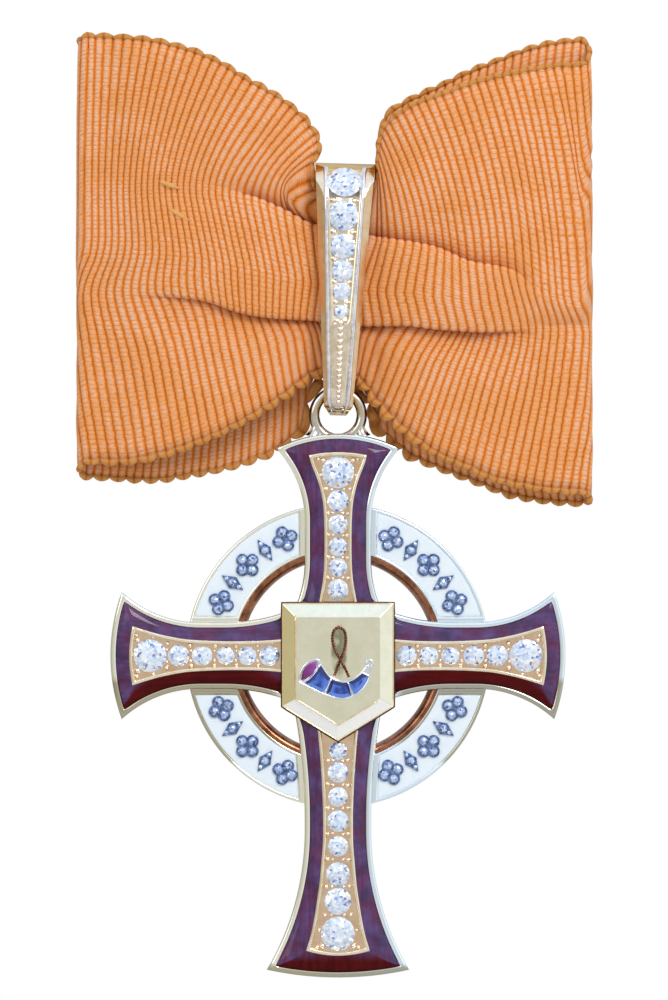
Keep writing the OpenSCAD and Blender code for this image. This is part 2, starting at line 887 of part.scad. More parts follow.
// The back layer, in the same columns
back_layer = [
    [-28.9, 22.9, -24.8, 4.4], [-20.7, 22, -25.3, 4.3], [-16.4, 20.6, -24.8, 4.2], [-12.8, 19, -24.1, 4.2],
    [-9.2, 17, -23, 4.2], [-6.6, 15.4, -21.3, 4.2], [-4.3, 13.2, -19, 4.5], [-3.2, 11, -15.6, 4.8],
    [-2.85, 6.3, -14.6, 4.95], [-2, 6.3, -13.6, 4.95], [2, 6.3, -13.6, 4.95], [2.7, 6.3, -15.4, 4.95],
    [4.45, 6.3, -18.2, 4.8], [4.8, 13.4, -19.6, 4.5],
    [8, 16.7, -22.5, 4.2], [11.8, 18.7, -24.2, 4.2], [15.2, 20, -25.6, 4.2], [18.6, 21.2, -26.9, 4.2],
    [22.9, 22.8, -27.7, 4.3], [28, 23.9, -28, 4.4]
];
// The two long folds: x, the height of the upper and the lower one, and how far the middle band stands forward
fold_lines = [
    [-28.9, 6.5, -4.7, 0], [-22, 6.4, -5, 0.15], [-10.3, 5.9, -7, 0.6], [-2.6, 2.7, -7.8, 0.85],
    [3.4, 1.5, -8.2, 0.85], [8.4, 1, -8.3, 0.8], [12.7, -0.3, -8.9, 0.5], [17, -1.8, -9.1, 0.2], [28, -4, -9.5, 0]
];
// Rows across the width: the band, the share of the way down it, and whether the row stands forward
rows = [
    [0, 0, 0], [0, 0.06, 0], [0, 0.36, 0], [0, 0.68, 0], [0, 1, 0],
    [1, 0, 1], [1, 0.33, 1], [1, 0.67, 1], [1, 1, 1],
    [2, 0, 0], [2, 0.32, 0], [2, 0.64, 0], [2, 0.94, 0], [2, 1, 0]
];
fold_h = 1;
// The stretch of the ribbon inside the bail, and how far outside it the edges rise again
bail_from = -2.85;
bail_to = 4.45;
edge_run = 0.35;

// A column of the ribbon: x, depth, heights of the two edges, heights of the two folds, and the forward step
function column(table, x, step) = [
    x, read(table, 3, x), read(table, 1, x), read(table, 2, x),
    read(fold_lines, 1, x), read(fold_lines, 2, x), step * read(fold_lines, 3, x)
];
// A column of the turn at one end of the bow, which joins the two layers
function turn_column(x, out, angle) =
    let (
        f = column(front_layer, x, 0),
        b = column(back_layer, x, 0),
        r = (f[1] - b[1]) / 2,
        t = min(1, angle / 90)
    )
    [x + out * r * sin(angle), b[1] + r + r * cos(angle), mix(f[2], b[2], t), mix(f[3], b[3], t), f[4], f[5], 0];
turn_r = 1.2;
left_x = ribbon_left + turn_r;
right_x = ribbon_right - turn_r;
// Places of the columns from right to left: about 1 mm apart, with one at each end of every steep edge
column_places = concat(
    [for (k = [0 : 22]) mix(right_x, bail_to + edge_run, k / 22)],
    [for (k = [0 : 8]) mix(bail_to, bail_from, k / 8)],
    [for (k = [0 : 24]) mix(bail_from - edge_run, left_x, k / 24)]
);
turn_angles = [30, 60, 90, 120, 150];
columns = concat(
    [for (x = column_places) column(front_layer, x, 1)],
    [for (angle = turn_angles) turn_column(left_x, -1, angle)],
    [for (k = [len(column_places) - 1 : -1 : 0]) column(back_layer, column_places[k], 0)],
    [for (k = [4 : -1 : 0]) turn_column(right_x, 1, turn_angles[k])]
);
// A point of the ribbon's middle surface
function ribbon_point(i, j) =
    let (
        c = columns[(i + len(columns)) % len(columns)],
        row = rows[j],
        knob = i % 2 == 0 ? picot : 0,
        top = c[2] + (j == 0 ? knob : 0),
        low = c[3] - (j == len(rows) - 1 ? knob : 0),
        edges = [[top, c[4] + fold_h / 2], [c[4] - fold_h / 2, c[5] + fold_h / 2], [c[5] - fold_h / 2, low]],
        band = edges[row[0]]
    )
    [c[0], -c[1] - row[2] * c[6], mix(band[0], band[1], row[1])];
grid = [for (i = [0 : len(columns) - 1]) [for (j = [0 : len(rows) - 1]) ribbon_point(i, j)]];
// The ribbon's outward direction at a point of its grid
function ribbon_normal(i, j) =
    let (
        n = len(grid),
        last = len(rows) - 1,
        along = grid[(i + 1) % n][j] - grid[(i + n - 1) % n][j],
        down = grid[i][min(j + 1, last)] - grid[i][max(j - 1, 0)]
    )
    unit(cross(down, along));

module ribbon() {
    rings = [
        for (i = [0 : len(grid) - 1]) concat(
            [for (j = [0 : len(rows) - 1]) grid[i][j] + ribbon_normal(i, j) * ribbon_wall / 2],
            [for (j = [len(rows) - 1 : -1 : 0]) grid[i][j] - ribbon_normal(i, j) * ribbon_wall / 2]
        )
    ];
    color(silk)
        loft(rings, looped = true);
}

// The brooch pin: a bar against the ribbon's back, and a stem that stands off it for the cloth
pin_bar_h = 3;
pin_bar_t = 1;
pin_bar_y = -3.1;
pin_stem_half = 13;
pin_post_w = 1.2;
pin_post_r = 1;

module pin() {
    color(pale_gold)
        union() {
            translate([-pin_bar / 2, pin_bar_y, -pin_bar_h / 2])
                cube([pin_bar, pin_bar_t, pin_bar_h]);
            for (side = [-1, 1])
                translate([side * pin_bar / 2, pin_bar_y + pin_bar_t, 0])
                    rotate([90, 0, 0])
                        cylinder(h = pin_bar_t, r = pin_bar_h / 2);
            for (side = [-1, 1])
                translate([side * pin_stem_half - pin_post_w / 2, pin_bar_y + pin_bar_t - eps, -pin_post_r])
                    cube([pin_post_w, -pin_bar_y - pin_bar_t + eps, 2 * pin_post_r]);
            for (side = [-1, 1])
                translate([side * pin_stem_half - pin_post_w / 2, 0, 0])
                    rotate([0, 90, 0])
                        cylinder(h = pin_post_w, r = pin_post_r);
            translate([-pin_stem_half, 0, 0])
                rotate([0, 90, 0])
                    cylinder(h = 2 * pin_stem_half, r = pin_stem_r);
        }
}

ribbon();
pin();
bail();
for (i = [0 : 5])
    bail_stone(i);
cross();
arm_enamel(arms[0]);  // enamel_top
arm_enamel(arms[1]);  // enamel_right
arm_enamel(arms[2]);  // enamel_bottom
arm_enamel(arms[3]);  // enamel_left
for (q = [0 : 3]) {
    ring_enamel(q);
    ring_mounts(q);
    ring_stones(q);
}
for (k = [0 : 3], i = [0 : len(stone_rows[k]) - 1])
    cross_stone(k, i);
shield();
horn();
horn_loop();
horn_ruby();
for (i = [0 : 2])
    horn_sapphire(i);
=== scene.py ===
# %% [markdown]
# # An honour medal on a folded bow
# A gold cross with a ring between its arms hangs by a jewelled bail from a bow of ribbed silk. The packed
# CAD model gives every size and place. Solids that already have the right shape stay and get a finish, and
# finer pieces stand for the rest. Lengths in this lesson are in millimetres until a mesh is made.

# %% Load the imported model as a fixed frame
import math
import random

import bpy
import numpy as np
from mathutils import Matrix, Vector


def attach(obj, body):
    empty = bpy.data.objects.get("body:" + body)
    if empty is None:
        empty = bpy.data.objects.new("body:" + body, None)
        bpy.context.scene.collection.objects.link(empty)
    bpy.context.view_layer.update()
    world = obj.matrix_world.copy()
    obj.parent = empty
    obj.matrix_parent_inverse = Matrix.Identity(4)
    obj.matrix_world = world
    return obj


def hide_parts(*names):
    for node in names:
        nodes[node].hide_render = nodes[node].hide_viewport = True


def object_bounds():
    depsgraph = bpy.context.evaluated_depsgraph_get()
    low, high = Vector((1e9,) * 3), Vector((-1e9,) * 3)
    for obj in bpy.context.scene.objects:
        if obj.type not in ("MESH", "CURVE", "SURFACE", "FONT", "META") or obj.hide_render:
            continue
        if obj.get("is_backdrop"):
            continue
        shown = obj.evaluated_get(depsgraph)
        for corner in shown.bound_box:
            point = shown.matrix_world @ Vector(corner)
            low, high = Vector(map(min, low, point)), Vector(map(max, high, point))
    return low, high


MM = 0.001
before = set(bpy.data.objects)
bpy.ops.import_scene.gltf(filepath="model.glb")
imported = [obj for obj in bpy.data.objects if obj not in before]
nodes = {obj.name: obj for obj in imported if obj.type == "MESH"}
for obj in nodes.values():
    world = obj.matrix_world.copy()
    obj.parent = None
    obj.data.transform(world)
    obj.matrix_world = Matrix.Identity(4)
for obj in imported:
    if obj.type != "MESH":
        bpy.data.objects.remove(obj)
bpy.context.view_layer.update()

# %% [markdown]
# ## The camera
# The medal was photographed straight on, from far enough away that nothing looks bent by perspective. A
# long lens on a camera almost a metre away gives that. The photograph shows 111.1 mm from top to bottom at
# the medal's depth.

# %% Place the camera
VIEW_HEIGHT = 111.1
CAMERA_DISTANCE = 900
SENSOR = 36
VIEW_X, VIEW_Z, MEDAL_Y = -0.44, -27.8, -8

scene = bpy.context.scene
camera_data = bpy.data.cameras.new("camera")
camera_data.sensor_fit = "VERTICAL"
camera_data.sensor_height = SENSOR
camera_data.lens = SENSOR * CAMERA_DISTANCE / VIEW_HEIGHT
camera_data.clip_start = 0.02
camera_data.clip_end = 20
camera = bpy.data.objects.new("camera", camera_data)
camera.location = (VIEW_X * MM, (MEDAL_Y - CAMERA_DISTANCE) * MM, VIEW_Z * MM)
camera.rotation_euler = (math.pi / 2, 0, 0)
scene.collection.objects.link(camera)
scene.camera = camera
print("lens in mm:", round(camera_data.lens, 1))


# %% [markdown]
# ## Node helpers
# Materials and the world are node trees. These helpers make a node with its values in one line. A value is
# a plain number, a colour, or a socket of another node, and the tree is known from the socket, so that each
# recipe below reads as sums of values.

# %% Make nodes in one line
def feed(socket, value):
    """Links a socket to another one, or sets it to a plain number or colour."""
    if isinstance(value, bpy.types.NodeSocket):
        socket.id_data.links.new(value, socket)
    elif isinstance(value, tuple) and len(value) == 3 and len(socket.default_value) == 4:
        socket.default_value = (*value, 1)
    else:
        socket.default_value = value


def node(tree, kind, *values, **named):
    """Adds a node and feeds its first sockets. A name is one of its properties or one of its sockets."""
    made = tree.nodes.new(kind)
    for name, value in named.items():
        if hasattr(made, name):
            setattr(made, name, value)
    for socket, value in zip(made.inputs, values):
        feed(socket, value)
    for name, value in named.items():
        if name in made.inputs:
            feed(made.inputs[name], value)
    return made


def tree_of(*values):
    """The node tree that the sockets among these values belong to."""
    return next(value.id_data for value in values if isinstance(value, bpy.types.NodeSocket))


def calc(operation, a, b=0.0, clamp=False):
    return node(tree_of(a, b), "ShaderNodeMath", a, b, operation=operation, use_clamp=clamp).outputs[0]


def times(a, b):
    return calc("MULTIPLY", a, b)


def plus(a, b):
    return calc("ADD", a, b)


def minus(a, b):
    return calc("SUBTRACT", a, b)


def fade(value, low, high, to_low=0.0, to_high=1.0):
    """A soft step of a value from low to high."""
    limits = {"From Min": low, "From Max": high, "To Min": to_low, "To Max": to_high}
    return node(
        tree_of(value), "ShaderNodeMapRange", value, interpolation_type="SMOOTHSTEP", **limits
    ).outputs["Result"]


def blend(share, a, b, **kind):
    """Goes from colour a to colour b as share goes from 0 to 1."""
    made = node(tree_of(share), "ShaderNodeMix", share, data_type="RGBA", **kind)
    feed(made.inputs[6], a)
    feed(made.inputs[7], b)
    return made.outputs[2]


def vector(operation, a, b, **named):
    return node(tree_of(a, b), "ShaderNodeVectorMath", a, b, operation=operation, **named).outputs[0]


def split(socket):
    """The x, y and z of a vector."""
    return node(socket.id_data, "ShaderNodeSeparateXYZ", socket).outputs


def srgb(red, green, blue):
    """A colour read off a screen, as the linear values that Blender works with."""
    return tuple(
        c / 255 / 12.92 if c <= 10 else ((c / 255 + 0.055) / 1.055) ** 2.4 for c in (red, green, blue)
    )


# %% [markdown]
# ## The light
# Polished metal shows what stands round it, so the surroundings matter as much as the lamps. The world is a
# plain studio in reflections, cool and bright above, bright to the right, golden and dimmer to the left,
# and dark straight below with light to both sides of that. The silk gets a simpler, softer room light,
# which keeps its cords crisp. The camera itself sees white paper behind the medal. A soft lamp from the
# upper right shapes the folds of the silk, and a weak one from the left opens the shadows.

# %% Make the world
world = bpy.data.worlds.new("studio")
scene.world = world
world.use_nodes = True
sky = world.node_tree
sky.nodes.clear()
across, outward, upward = split(node(sky, "ShaderNodeTexCoord").outputs["Generated"])
sideways = calc("ABSOLUTE", across)
down = times(upward, -1.0)
regions = [
    (fade(times(outward, -1.0), 0.75, 1.0), (0.14, 0.14, 0.13)),
    (fade(upward, 0.1, 0.8), (0.42, 0.52, 0.74)),
    (fade(across, 0.3, 0.85), (0.36, 0.40, 0.45)),
    (fade(times(across, -1.0), 0.3, 0.8), (0.0, -0.01, -0.06)),
    (times(fade(down, 0.2, 0.6), fade(sideways, 0.14, 0.36)), (0.30, 0.29, 0.28)),
    (times(fade(down, 0.3, 0.75), fade(sideways, 0.32, 0.12)), (-0.50, -0.50, -0.50)),
    (fade(outward, -0.2, 0.2), (-0.14, -0.14, -0.14)),
]
light = (0.55, 0.545, 0.535)
for share, colour in regions:
    part = node(sky, "ShaderNodeVectorMath", colour, operation="SCALE", Scale=share)
    light = vector("ADD", light, part.outputs[0])


def background(colour):
    return node(sky, "ShaderNodeBackground", Color=colour).outputs[0]


room = background(blend(fade(upward, -0.7, 0.9), (0.46, 0.44, 0.41), (0.66, 0.68, 0.72)))
ray = node(sky, "ShaderNodeLightPath").outputs
reflected = node(sky, "ShaderNodeMixShader", ray["Is Glossy Ray"], room, background(light))
seen = node(sky, "ShaderNodeMixShader", ray["Is Camera Ray"], reflected.outputs[0], background((1, 1, 1)))
node(sky, "ShaderNodeOutputWorld", Surface=seen.outputs[0])
scene.view_settings.view_transform = "Standard"


# %% Hang the lamps
LAMPS_AIM = (0, 0, -25)


def lamp(name, where, size, watts, colour):
    """A soft square lamp that looks at the middle of the medal."""
    data = bpy.data.lights.new(name, "AREA")
    data.size = size * MM
    data.energy = watts
    data.color = colour
    made = bpy.data.objects.new(name, data)
    scene.collection.objects.link(made)
    aim = np.array(LAMPS_AIM, float) - where
    aim /= np.linalg.norm(aim)
    made.location = [c * MM for c in where]
    made.rotation_euler = (math.acos(-aim[2]), 0, math.atan2(-aim[0], aim[1]))


lamp("key", (250, -420, 360), 220, 1.55, (1, 0.97, 0.93))
lamp("fill", (-420, -480, 200), 320, 0.6, (0.94, 0.96, 1))

# %% Lay the floor
FLOOR_Z = -128
FLOOR_HALF = 330
square = [(x * FLOOR_HALF, y * FLOOR_HALF, FLOOR_Z) for x, y in ((-1, -1), (1, -1), (1, 1), (-1, 1))]
floor_mesh = bpy.data.meshes.new("floor")
floor_mesh.from_pydata([tuple(c * MM for c in corner) for corner in square], [], [(0, 1, 2, 3)])
floor = bpy.data.objects.new("floor", floor_mesh)
scene.collection.objects.link(floor)
floor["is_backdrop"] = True


# %% [markdown]
# ## Finishes
# Three effects are shared by several materials, so they are node groups: the fine wear of handled metal,
# the weave of the silk, and the painted sparkle of a cut stone. Each group gives only masks and heights
# that change over the surface, and the shader that uses them stays in the material.

# %% A group of nodes and a material, by name
def group(name, inputs, outputs):
    """An empty node group with number inputs and outputs. Returns its tree and both rows of sockets."""
    tree = bpy.data.node_groups.new(name, "ShaderNodeTree")
    for title, default in inputs.items():
        socket = tree.interface.new_socket(title, in_out="INPUT", socket_type="NodeSocketFloat")
        socket.default_value = default
    for title in outputs:
        tree.interface.new_socket(title, in_out="OUTPUT", socket_type="NodeSocketFloat")
    return tree, tree.nodes.new("NodeGroupInput").outputs, tree.nodes.new("NodeGroupOutput").inputs


def use(tree, effect, **values):
    return node(tree, "ShaderNodeGroup", node_tree=effect, **values).outputs


def material(name, **values):
    """A material with values for its Principled BSDF. Returns the material, its tree and the sockets."""
    made = bpy.data.materials.new(name)
    made.use_nodes = True
    sockets = made.node_tree.nodes["Principled BSDF"].inputs
    for socket, value in values.items():
        sockets[socket.replace("_", " ")].default_value = value
    return made, made.node_tree, sockets


def relief(sockets, height, deep):
    """Fine relief through a Bump node. deep is how far a height of 1 stands out, in mm."""
    bump = node(height.id_data, "ShaderNodeBump", Strength=1.0, Distance=deep * MM, Height=height)
    feed(sockets["Normal"], bump.outputs[0])


def in_mm(tree, *stretch):
    """The place on the object in mm, stretched along each axis."""
    place = node(tree, "ShaderNodeTexCoord").outputs["Object"]
    return vector("MULTIPLY", place, tuple(s / MM for s in stretch or (1, 1, 1)))


def noise(place, scale, detail=2.0, rough=0.5):
    values = {"Vector": place, "Scale": scale, "Detail": detail, "Roughness": rough}
    return node(place.id_data, "ShaderNodeTexNoise", **values).outputs[0]


def facing(tree):
    """The direction that the surface faces on the object, as x, y and z."""
    return split(node(tree, "ShaderNodeTexCoord").outputs["Normal"])


# %% The wear of handled metal
wear, wear_in, wear_out = group(
    "Handled metal", {"Scale": 1.0, "Scratches": 0.5}, ["Tone", "Dullness", "Height"]
)
clouds = noise(in_mm(wear), wear_in["Scale"], 3.0, 0.6)
hairs = noise(in_mm(wear, 5, 2, 0.7), 1.6, 4.0, 0.75)
scratched = times(fade(hairs, 0.58, 0.74), wear_in["Scratches"])
half = times(clouds, 0.5)
feed(wear_out["Tone"], fade(clouds, 0.3, 0.7))
feed(wear_out["Dullness"], calc("ADD", half, scratched, True))
feed(wear_out["Height"], minus(half, scratched))


def polish(sockets, worn, smooth, dull, deep):
    """Roughness between two values and fine relief in mm, both from the wear."""
    feed(sockets["Roughness"], fade(worn["Dullness"], 0.1, 0.9, smooth, dull))
    relief(sockets, worn["Height"], deep)


def metal(name, light, dark, smooth, dull, scale=0.9, scratches=0.4, deep=0.006):
    """A polished metal between two tones."""
    made, tree, sockets = material(name, Metallic=1.0)
    worn = use(tree, wear, Scale=scale, Scratches=scratches)
    feed(sockets["Base Color"], blend(worn["Tone"], srgb(*dark), srgb(*light)))
    polish(sockets, worn, smooth, dull, deep)
    return made


# %% Gold and silver
# Gold gets a painted shade on walls that face sideways, a deeper and darker tone than the front, and the
# back has a tone of its own. The direction that a surface faces on the object tells them apart.
CLOUDED = tuple(c * 0.92 for c in srgb(255, 242, 222))


def two_sided_metal(name, front, wall, back, smooth, dull):
    """A slightly clouded metal: a tone for its front, painted shade on its side walls, a tone for its back.
    """
    made, tree, sockets = material(name, Metallic=1.0)
    worn = use(tree, wear, Scale=0.7, Scratches=0.3)
    # Painted shade: walls that face sideways take the darker wall tone
    tone = blend(fade(facing(tree)[1], -0.86, -0.5), srgb(*front), srgb(*wall))
    tone = blend(fade(facing(tree)[1], 0.7, 0.95), tone, srgb(*back))
    tone = blend(minus(1.0, worn["Tone"]), tone, CLOUDED, blend_type="MULTIPLY")
    feed(sockets["Base Color"], tone)
    polish(sockets, worn, smooth, dull, 0.006)
    return made


frame_gold = two_sided_metal("frame_gold", (233, 208, 182), (204, 150, 102), (240, 206, 150), 0.16, 0.36)
bail_gold = two_sided_metal("bail_gold", (242, 228, 206), (222, 182, 98), (240, 206, 150), 0.12, 0.3)
crest_gold = metal("crest_gold", (250, 240, 214), (242, 224, 190), 0.1, 0.22, 0.9, 0.2, 0.002)
# A bright gold for the painted highlight lines round the shield
glint_gold = metal("glint_gold", (250, 226, 182), (238, 204, 150), 0.12, 0.26, 1.5, 0.2, 0.002)
wall_gold = metal("wall_gold", (172, 116, 86), (112, 70, 52), 0.2, 0.4, 0.8, 0.08)
face_gold = metal("face_gold", (246, 234, 214), (226, 208, 180), 0.14, 0.3, 1.0)
# A dark metal for the painted shadow below the shield's edge
shadow_paint = metal("shadow_paint", (92, 70, 58), (52, 42, 44), 0.4, 0.6, 2.0)
bead_gold = metal("bead_gold", (250, 238, 222), (240, 220, 198), 0.12, 0.26, 2.0)
pin_gold = metal("pin_gold", (236, 204, 146), (222, 186, 126), 0.24, 0.42, 1.4)
old_silver = metal("old_silver", (138, 162, 210), (66, 84, 124), 0.2, 0.4, 2.2)
bright_silver = metal("bright_silver", (246, 248, 252), (216, 222, 234), 0.1, 0.25)
copper_gold = metal("copper_gold", (156, 98, 74), (76, 46, 38), 0.22, 0.42, 2.5)
link_silver = two_sided_metal("link_silver", (212, 210, 204), (84, 76, 66), (222, 214, 196), 0.14, 0.32)

# %% The rims, with painted reflection and shade
# The rims were polished after the enamel was fired. They get a painted reflection: the right-hand side of
# the medal is bluish white and the left-hand side ivory. The undersides of the side arms and of the foot
# get a painted olive shade.
rim_gold, tree, sockets = material("rim_gold", Metallic=1.0)
worn = use(tree, wear, Scale=0.9, Scratches=0.2)
x, _, z = split(in_mm(tree))
# Painted shade: olive on the undersides of the side arms and of the foot
side_arms = times(fade(calc("ABSOLUTE", x), 6.0, 7.5), fade(z, -57.5, -56.5))
underside = times(side_arms, fade(z, -47.3, -48.3))
painted_underside_shade = calc("MAXIMUM", underside, fade(z, -79.3, -79.9))
# Painted reflection: ivory on the left, bluish white on the right
tone = blend(fade(x, -4.0, 4.0), srgb(246, 244, 226), srgb(236, 248, 254))
feed(sockets["Base Color"], blend(times(painted_underside_shade, 0.75), tone, srgb(160, 148, 112)))
polish(sockets, worn, 0.1, 0.2, 0.002)

# %% The shield's pale gold
# The shield is a paler gold. Its left bevel gets a painted yellow shade, its lower bevels a painted
# near-white reflection, and beside the cord lies a painted shadow of the cord, broken into patches.
shield_gold, tree, sockets = material("shield_gold", Metallic=1.0)
worn = use(tree, wear, Scale=0.6, Scratches=0.3)
aside, _, upright = facing(tree)
tone = blend(worn["Tone"], srgb(238, 236, 208), srgb(246, 244, 220))
# Painted shade: the left bevel turns yellow
painted_left_shade = times(fade(aside, -0.25, -0.6), minus(1.0, fade(upright, -0.1, -0.35)))
tone = blend(painted_left_shade, tone, srgb(250, 230, 166))
# Painted reflection: the lower bevels turn near white and lose most of their metal
painted_foot_reflection = fade(upright, -0.2, -0.36)
tone = blend(painted_foot_reflection, tone, srgb(255, 255, 250))
x, _, z = split(in_mm(tree))
# Painted shadow of the cord on the face
beside_cord = calc("POWER", calc("DIVIDE", minus(x, 0.12), 0.95), 2.0)
along_cord = calc("POWER", calc("DIVIDE", plus(z, 44.6), 3.1), 2.0)
patches = fade(noise(in_mm(tree, 1, 0.2, 0.6), 1.3, 2.0), 0.36, 0.6, 0.25, 0.8)
painted_cord_shadow = times(fade(plus(beside_cord, along_cord), 1.1, 0.5), patches)
feed(sockets["Base Color"], blend(painted_cord_shadow, tone, srgb(120, 122, 92)))
feed(sockets["Metallic"], fade(painted_foot_reflection, 0.0, 1.0, 1.0, 0.1))
polish(sockets, worn, 0.1, 0.24, 0.004)


# %% Enamel
CROSS_Y, CROSS_Z = -6.5, -45.1


def glassy(name, colour_of, rough=(0.08, 0.22), coat_ior=1.5, dull_below=False):
    """A glossy glass-like finish. colour_of(tree) gives the colour from place to place."""
    made, tree, sockets = material(
        name, Coat_Weight=1.0, Coat_Roughness=0.03, Specular_IOR_Level=0.03, Coat_IOR=coat_ior
    )
    worn = use(tree, wear, Scale=0.8, Scratches=0.25)
    # Undersides lose most of their coat, so the painted deep red below shows no reflection
    if dull_below:
        feed(sockets["Coat Weight"], fade(facing(tree)[2], -0.30, -0.12, 0.08, 1.0))
    feed(sockets["Base Color"], colour_of(tree))
    polish(sockets, worn, *rough, 0.008)
    return made


def wine_and_violet(tree):
    """Painted reflection: violet where it faces the bright sky, deep red on its undersides low on the
    cross.
    """
    cloudy = noise(in_mm(tree), 0.5, 3.0, 0.6)
    violet = blend(fade(cloudy, 0.3, 0.7), srgb(62, 49, 86), srgb(97, 75, 128))
    glowing = fade(noise(in_mm(tree), 0.38, 3.0, 0.65), 0.40, 0.66)
    violet = blend(times(glowing, 0.45), violet, srgb(114, 34, 64))
    wine = blend(cloudy, srgb(66, 14, 15), srgb(102, 21, 22))
    x, _, z = split(in_mm(tree))
    on_side_arm = minus(calc("ABSOLUTE", x), calc("ABSOLUTE", plus(z, -CROSS_Z)))
    streaks = node(tree, "ShaderNodeMix", fade(on_side_arm, -0.5, 0.5), data_type="FLOAT")
    feed(streaks.inputs[2], noise(in_mm(tree, 2.4, 1, 0.2), 1.0))
    feed(streaks.inputs[3], noise(in_mm(tree, 0.2, 1, 2.4), 1.0))
    streaked = times(fade(streaks.outputs[0], 0.42, 0.68), 0.5)
    violet = blend(streaked, violet, srgb(86, 26, 54))
    wine = blend(streaked, wine, srgb(60, 8, 10))
    # Painted reflection: violet everywhere except the undersides low on the cross, which keep deep red
    under = times(fade(facing(tree)[2], -0.14, -0.30), fade(z, -43, -46))
    return blend(under, violet, wine)


def milky(tree):
    return blend(noise(in_mm(tree), 0.7, 3.0, 0.6), srgb(228, 243, 255), srgb(243, 251, 255))


def deep_blue(tree):
    """Blue glass: painted shade where a facet looks up, painted light where it looks down, slowly uneven
    between.
    """
    uneven = fade(noise(in_mm(tree), 0.7, 1.0), 0.38, 0.62)
    table = blend(uneven, srgb(28, 54, 144), srgb(78, 122, 218))
    sloping = blend(fade(facing(tree)[2], -0.2, 0.2), srgb(106, 146, 232), srgb(24, 36, 104))
    return blend(fade(calc("ABSOLUTE", facing(tree)[1]), 0.97, 0.9), table, sloping)


def deep_pink(tree):
    """Ruby with painted shade, darkest at its left end."""
    across = plus(split(in_mm(tree))[0], noise(in_mm(tree), 1.5, 1.0))
    return blend(fade(across, -3.9, -1.6), srgb(96, 8, 60), srgb(158, 72, 176))


dark_enamel = glassy("dark_enamel", wine_and_violet, coat_ior=1.32, dull_below=True)
white_enamel = glassy("white_enamel", milky, (0.12, 0.3))
ruby = glassy("ruby", deep_pink)
sapphire = glassy("sapphire", deep_blue)

# %% The painted sparkle of a cut stone
sparkle, sparkle_in, sparkle_out = group("Cut stone", {"Cells": 3.0}, ["Light", "Dark", "Warm"])
sparkle.interface.new_socket("Glint", in_out="OUTPUT", socket_type="NodeSocketVector")
cells = node(
    sparkle, "ShaderNodeTexVoronoi", in_mm(sparkle, 1, 0.6, 1), Scale=sparkle_in["Cells"], Randomness=1.0
).outputs["Color"]
first, second, third = node(sparkle, "ShaderNodeSeparateColor", cells).outputs
centred = vector("SUBTRACT", cells, (0.5, 0.5, 0.5))
tilted = node(sparkle, "ShaderNodeVectorMath", centred, operation="SCALE", Scale=0.7).outputs[0]
straight = node(sparkle, "ShaderNodeNewGeometry").outputs["Normal"]
evened = node(sparkle, "ShaderNodeVectorMath", vector("ADD", tilted, straight), operation="NORMALIZE")
# Painted reflection: each cell is light, dark, or has a warm glint of gold
feed(sparkle_out["Light"], first)
feed(sparkle_out["Dark"], fade(second, 0.83, 0.96))
feed(sparkle_out["Warm"], fade(third, 0.985, 0.995))
feed(sparkle_out["Glint"], evened.outputs[0])


def brilliant(name, light, mid, dark, cells_per_mm, shine):
    """A cut stone: each small cell gets its own painted reflection in its colour and glints its own way."""
    made, tree, sockets = material(
        name, Roughness=0.06, Metallic=shine, Coat_Weight=1.0, Coat_Roughness=0.0
    )
    lit = use(tree, sparkle, Cells=cells_per_mm)
    tone = blend(lit["Light"], srgb(*mid), srgb(*light))
    tone = blend(lit["Dark"], tone, srgb(*dark))
    feed(sockets["Base Color"], blend(lit["Warm"], tone, srgb(232, 206, 190)))
    feed(sockets["Normal"], lit["Glint"])
    return made


diamond = brilliant("diamond", (255, 255, 255), (196, 222, 255), (122, 146, 214), 3.5, 0.16)
rose_cut = brilliant("rose_cut", (214, 232, 255), (142, 168, 222), (76, 94, 144), 4.0, 0.35)

# %% [markdown]
# ### The silk
# A corded ribbon has thick cross cords covered by fine warp threads. Up close each cord has a pinkish top,
# orange sides and a dark line in the groove beside it, and the warp threads draw fine orange lines across
# the cords. The step from the dark groove over the orange side to the pale top is painted shade and light,
# and the top is paler still where the silk is worn. The ribbon's UV map counts cords along the ribbon and
# millimetres across it, so the weave follows every fold.

# %% The weave as a shared effect
weave, weave_in, weave_out = group(
    "Corded weave", {"Threads": 2.1}, ["Groove", "Top", "Thread", "Faded", "Height"]
)
chart = node(weave, "ShaderNodeUVMap", uv_map="weave").outputs[0]
along, wide, _ = split(chart)
uneven = noise(vector("MULTIPLY", chart, (0.9, 2.2, 1)), 1.0, 3.0, 0.6)
wander = times(minus(uneven, 0.5), 0.35)
from_groove = calc("PINGPONG", plus(along, wander), 0.5)
# Painted shade: the dark line in each groove, and the step up to the pale top
feed(weave_out["Groove"], fade(from_groove, 0.17, 0.03))
feed(weave_out["Top"], fade(from_groove, 0.16, 0.34))
wandering = plus(times(wide, weave_in["Threads"]), times(uneven, 1.3))
thread = calc("PINGPONG", wandering, 0.5)
fine = calc("PINGPONG", times(wandering, 2.7), 0.5)
coarse_lines = times(fade(thread, 0.17, 0.04), fade(uneven, 0.3, 0.5))
feed(weave_out["Thread"], calc("MAXIMUM", coarse_lines, times(fade(fine, 0.2, 0.06), 0.5)))
broad = noise(in_mm(weave), 0.16, 3.0, 0.55)
speckle = noise(in_mm(weave), 3.2, 2.0, 0.7)
feed(weave_out["Faded"], fade(plus(times(broad, 0.6), times(speckle, 0.4)), 0.40, 0.60))
rough_cloth = plus(times(thread, 1.0), times(fine, 0.5))
feed(weave_out["Height"], plus(rough_cloth, times(speckle, 0.8)))


# %% Silk for the ribbon and for its knotted edges
FOLD_SHADE = (0.56, 0.31, 0.14)


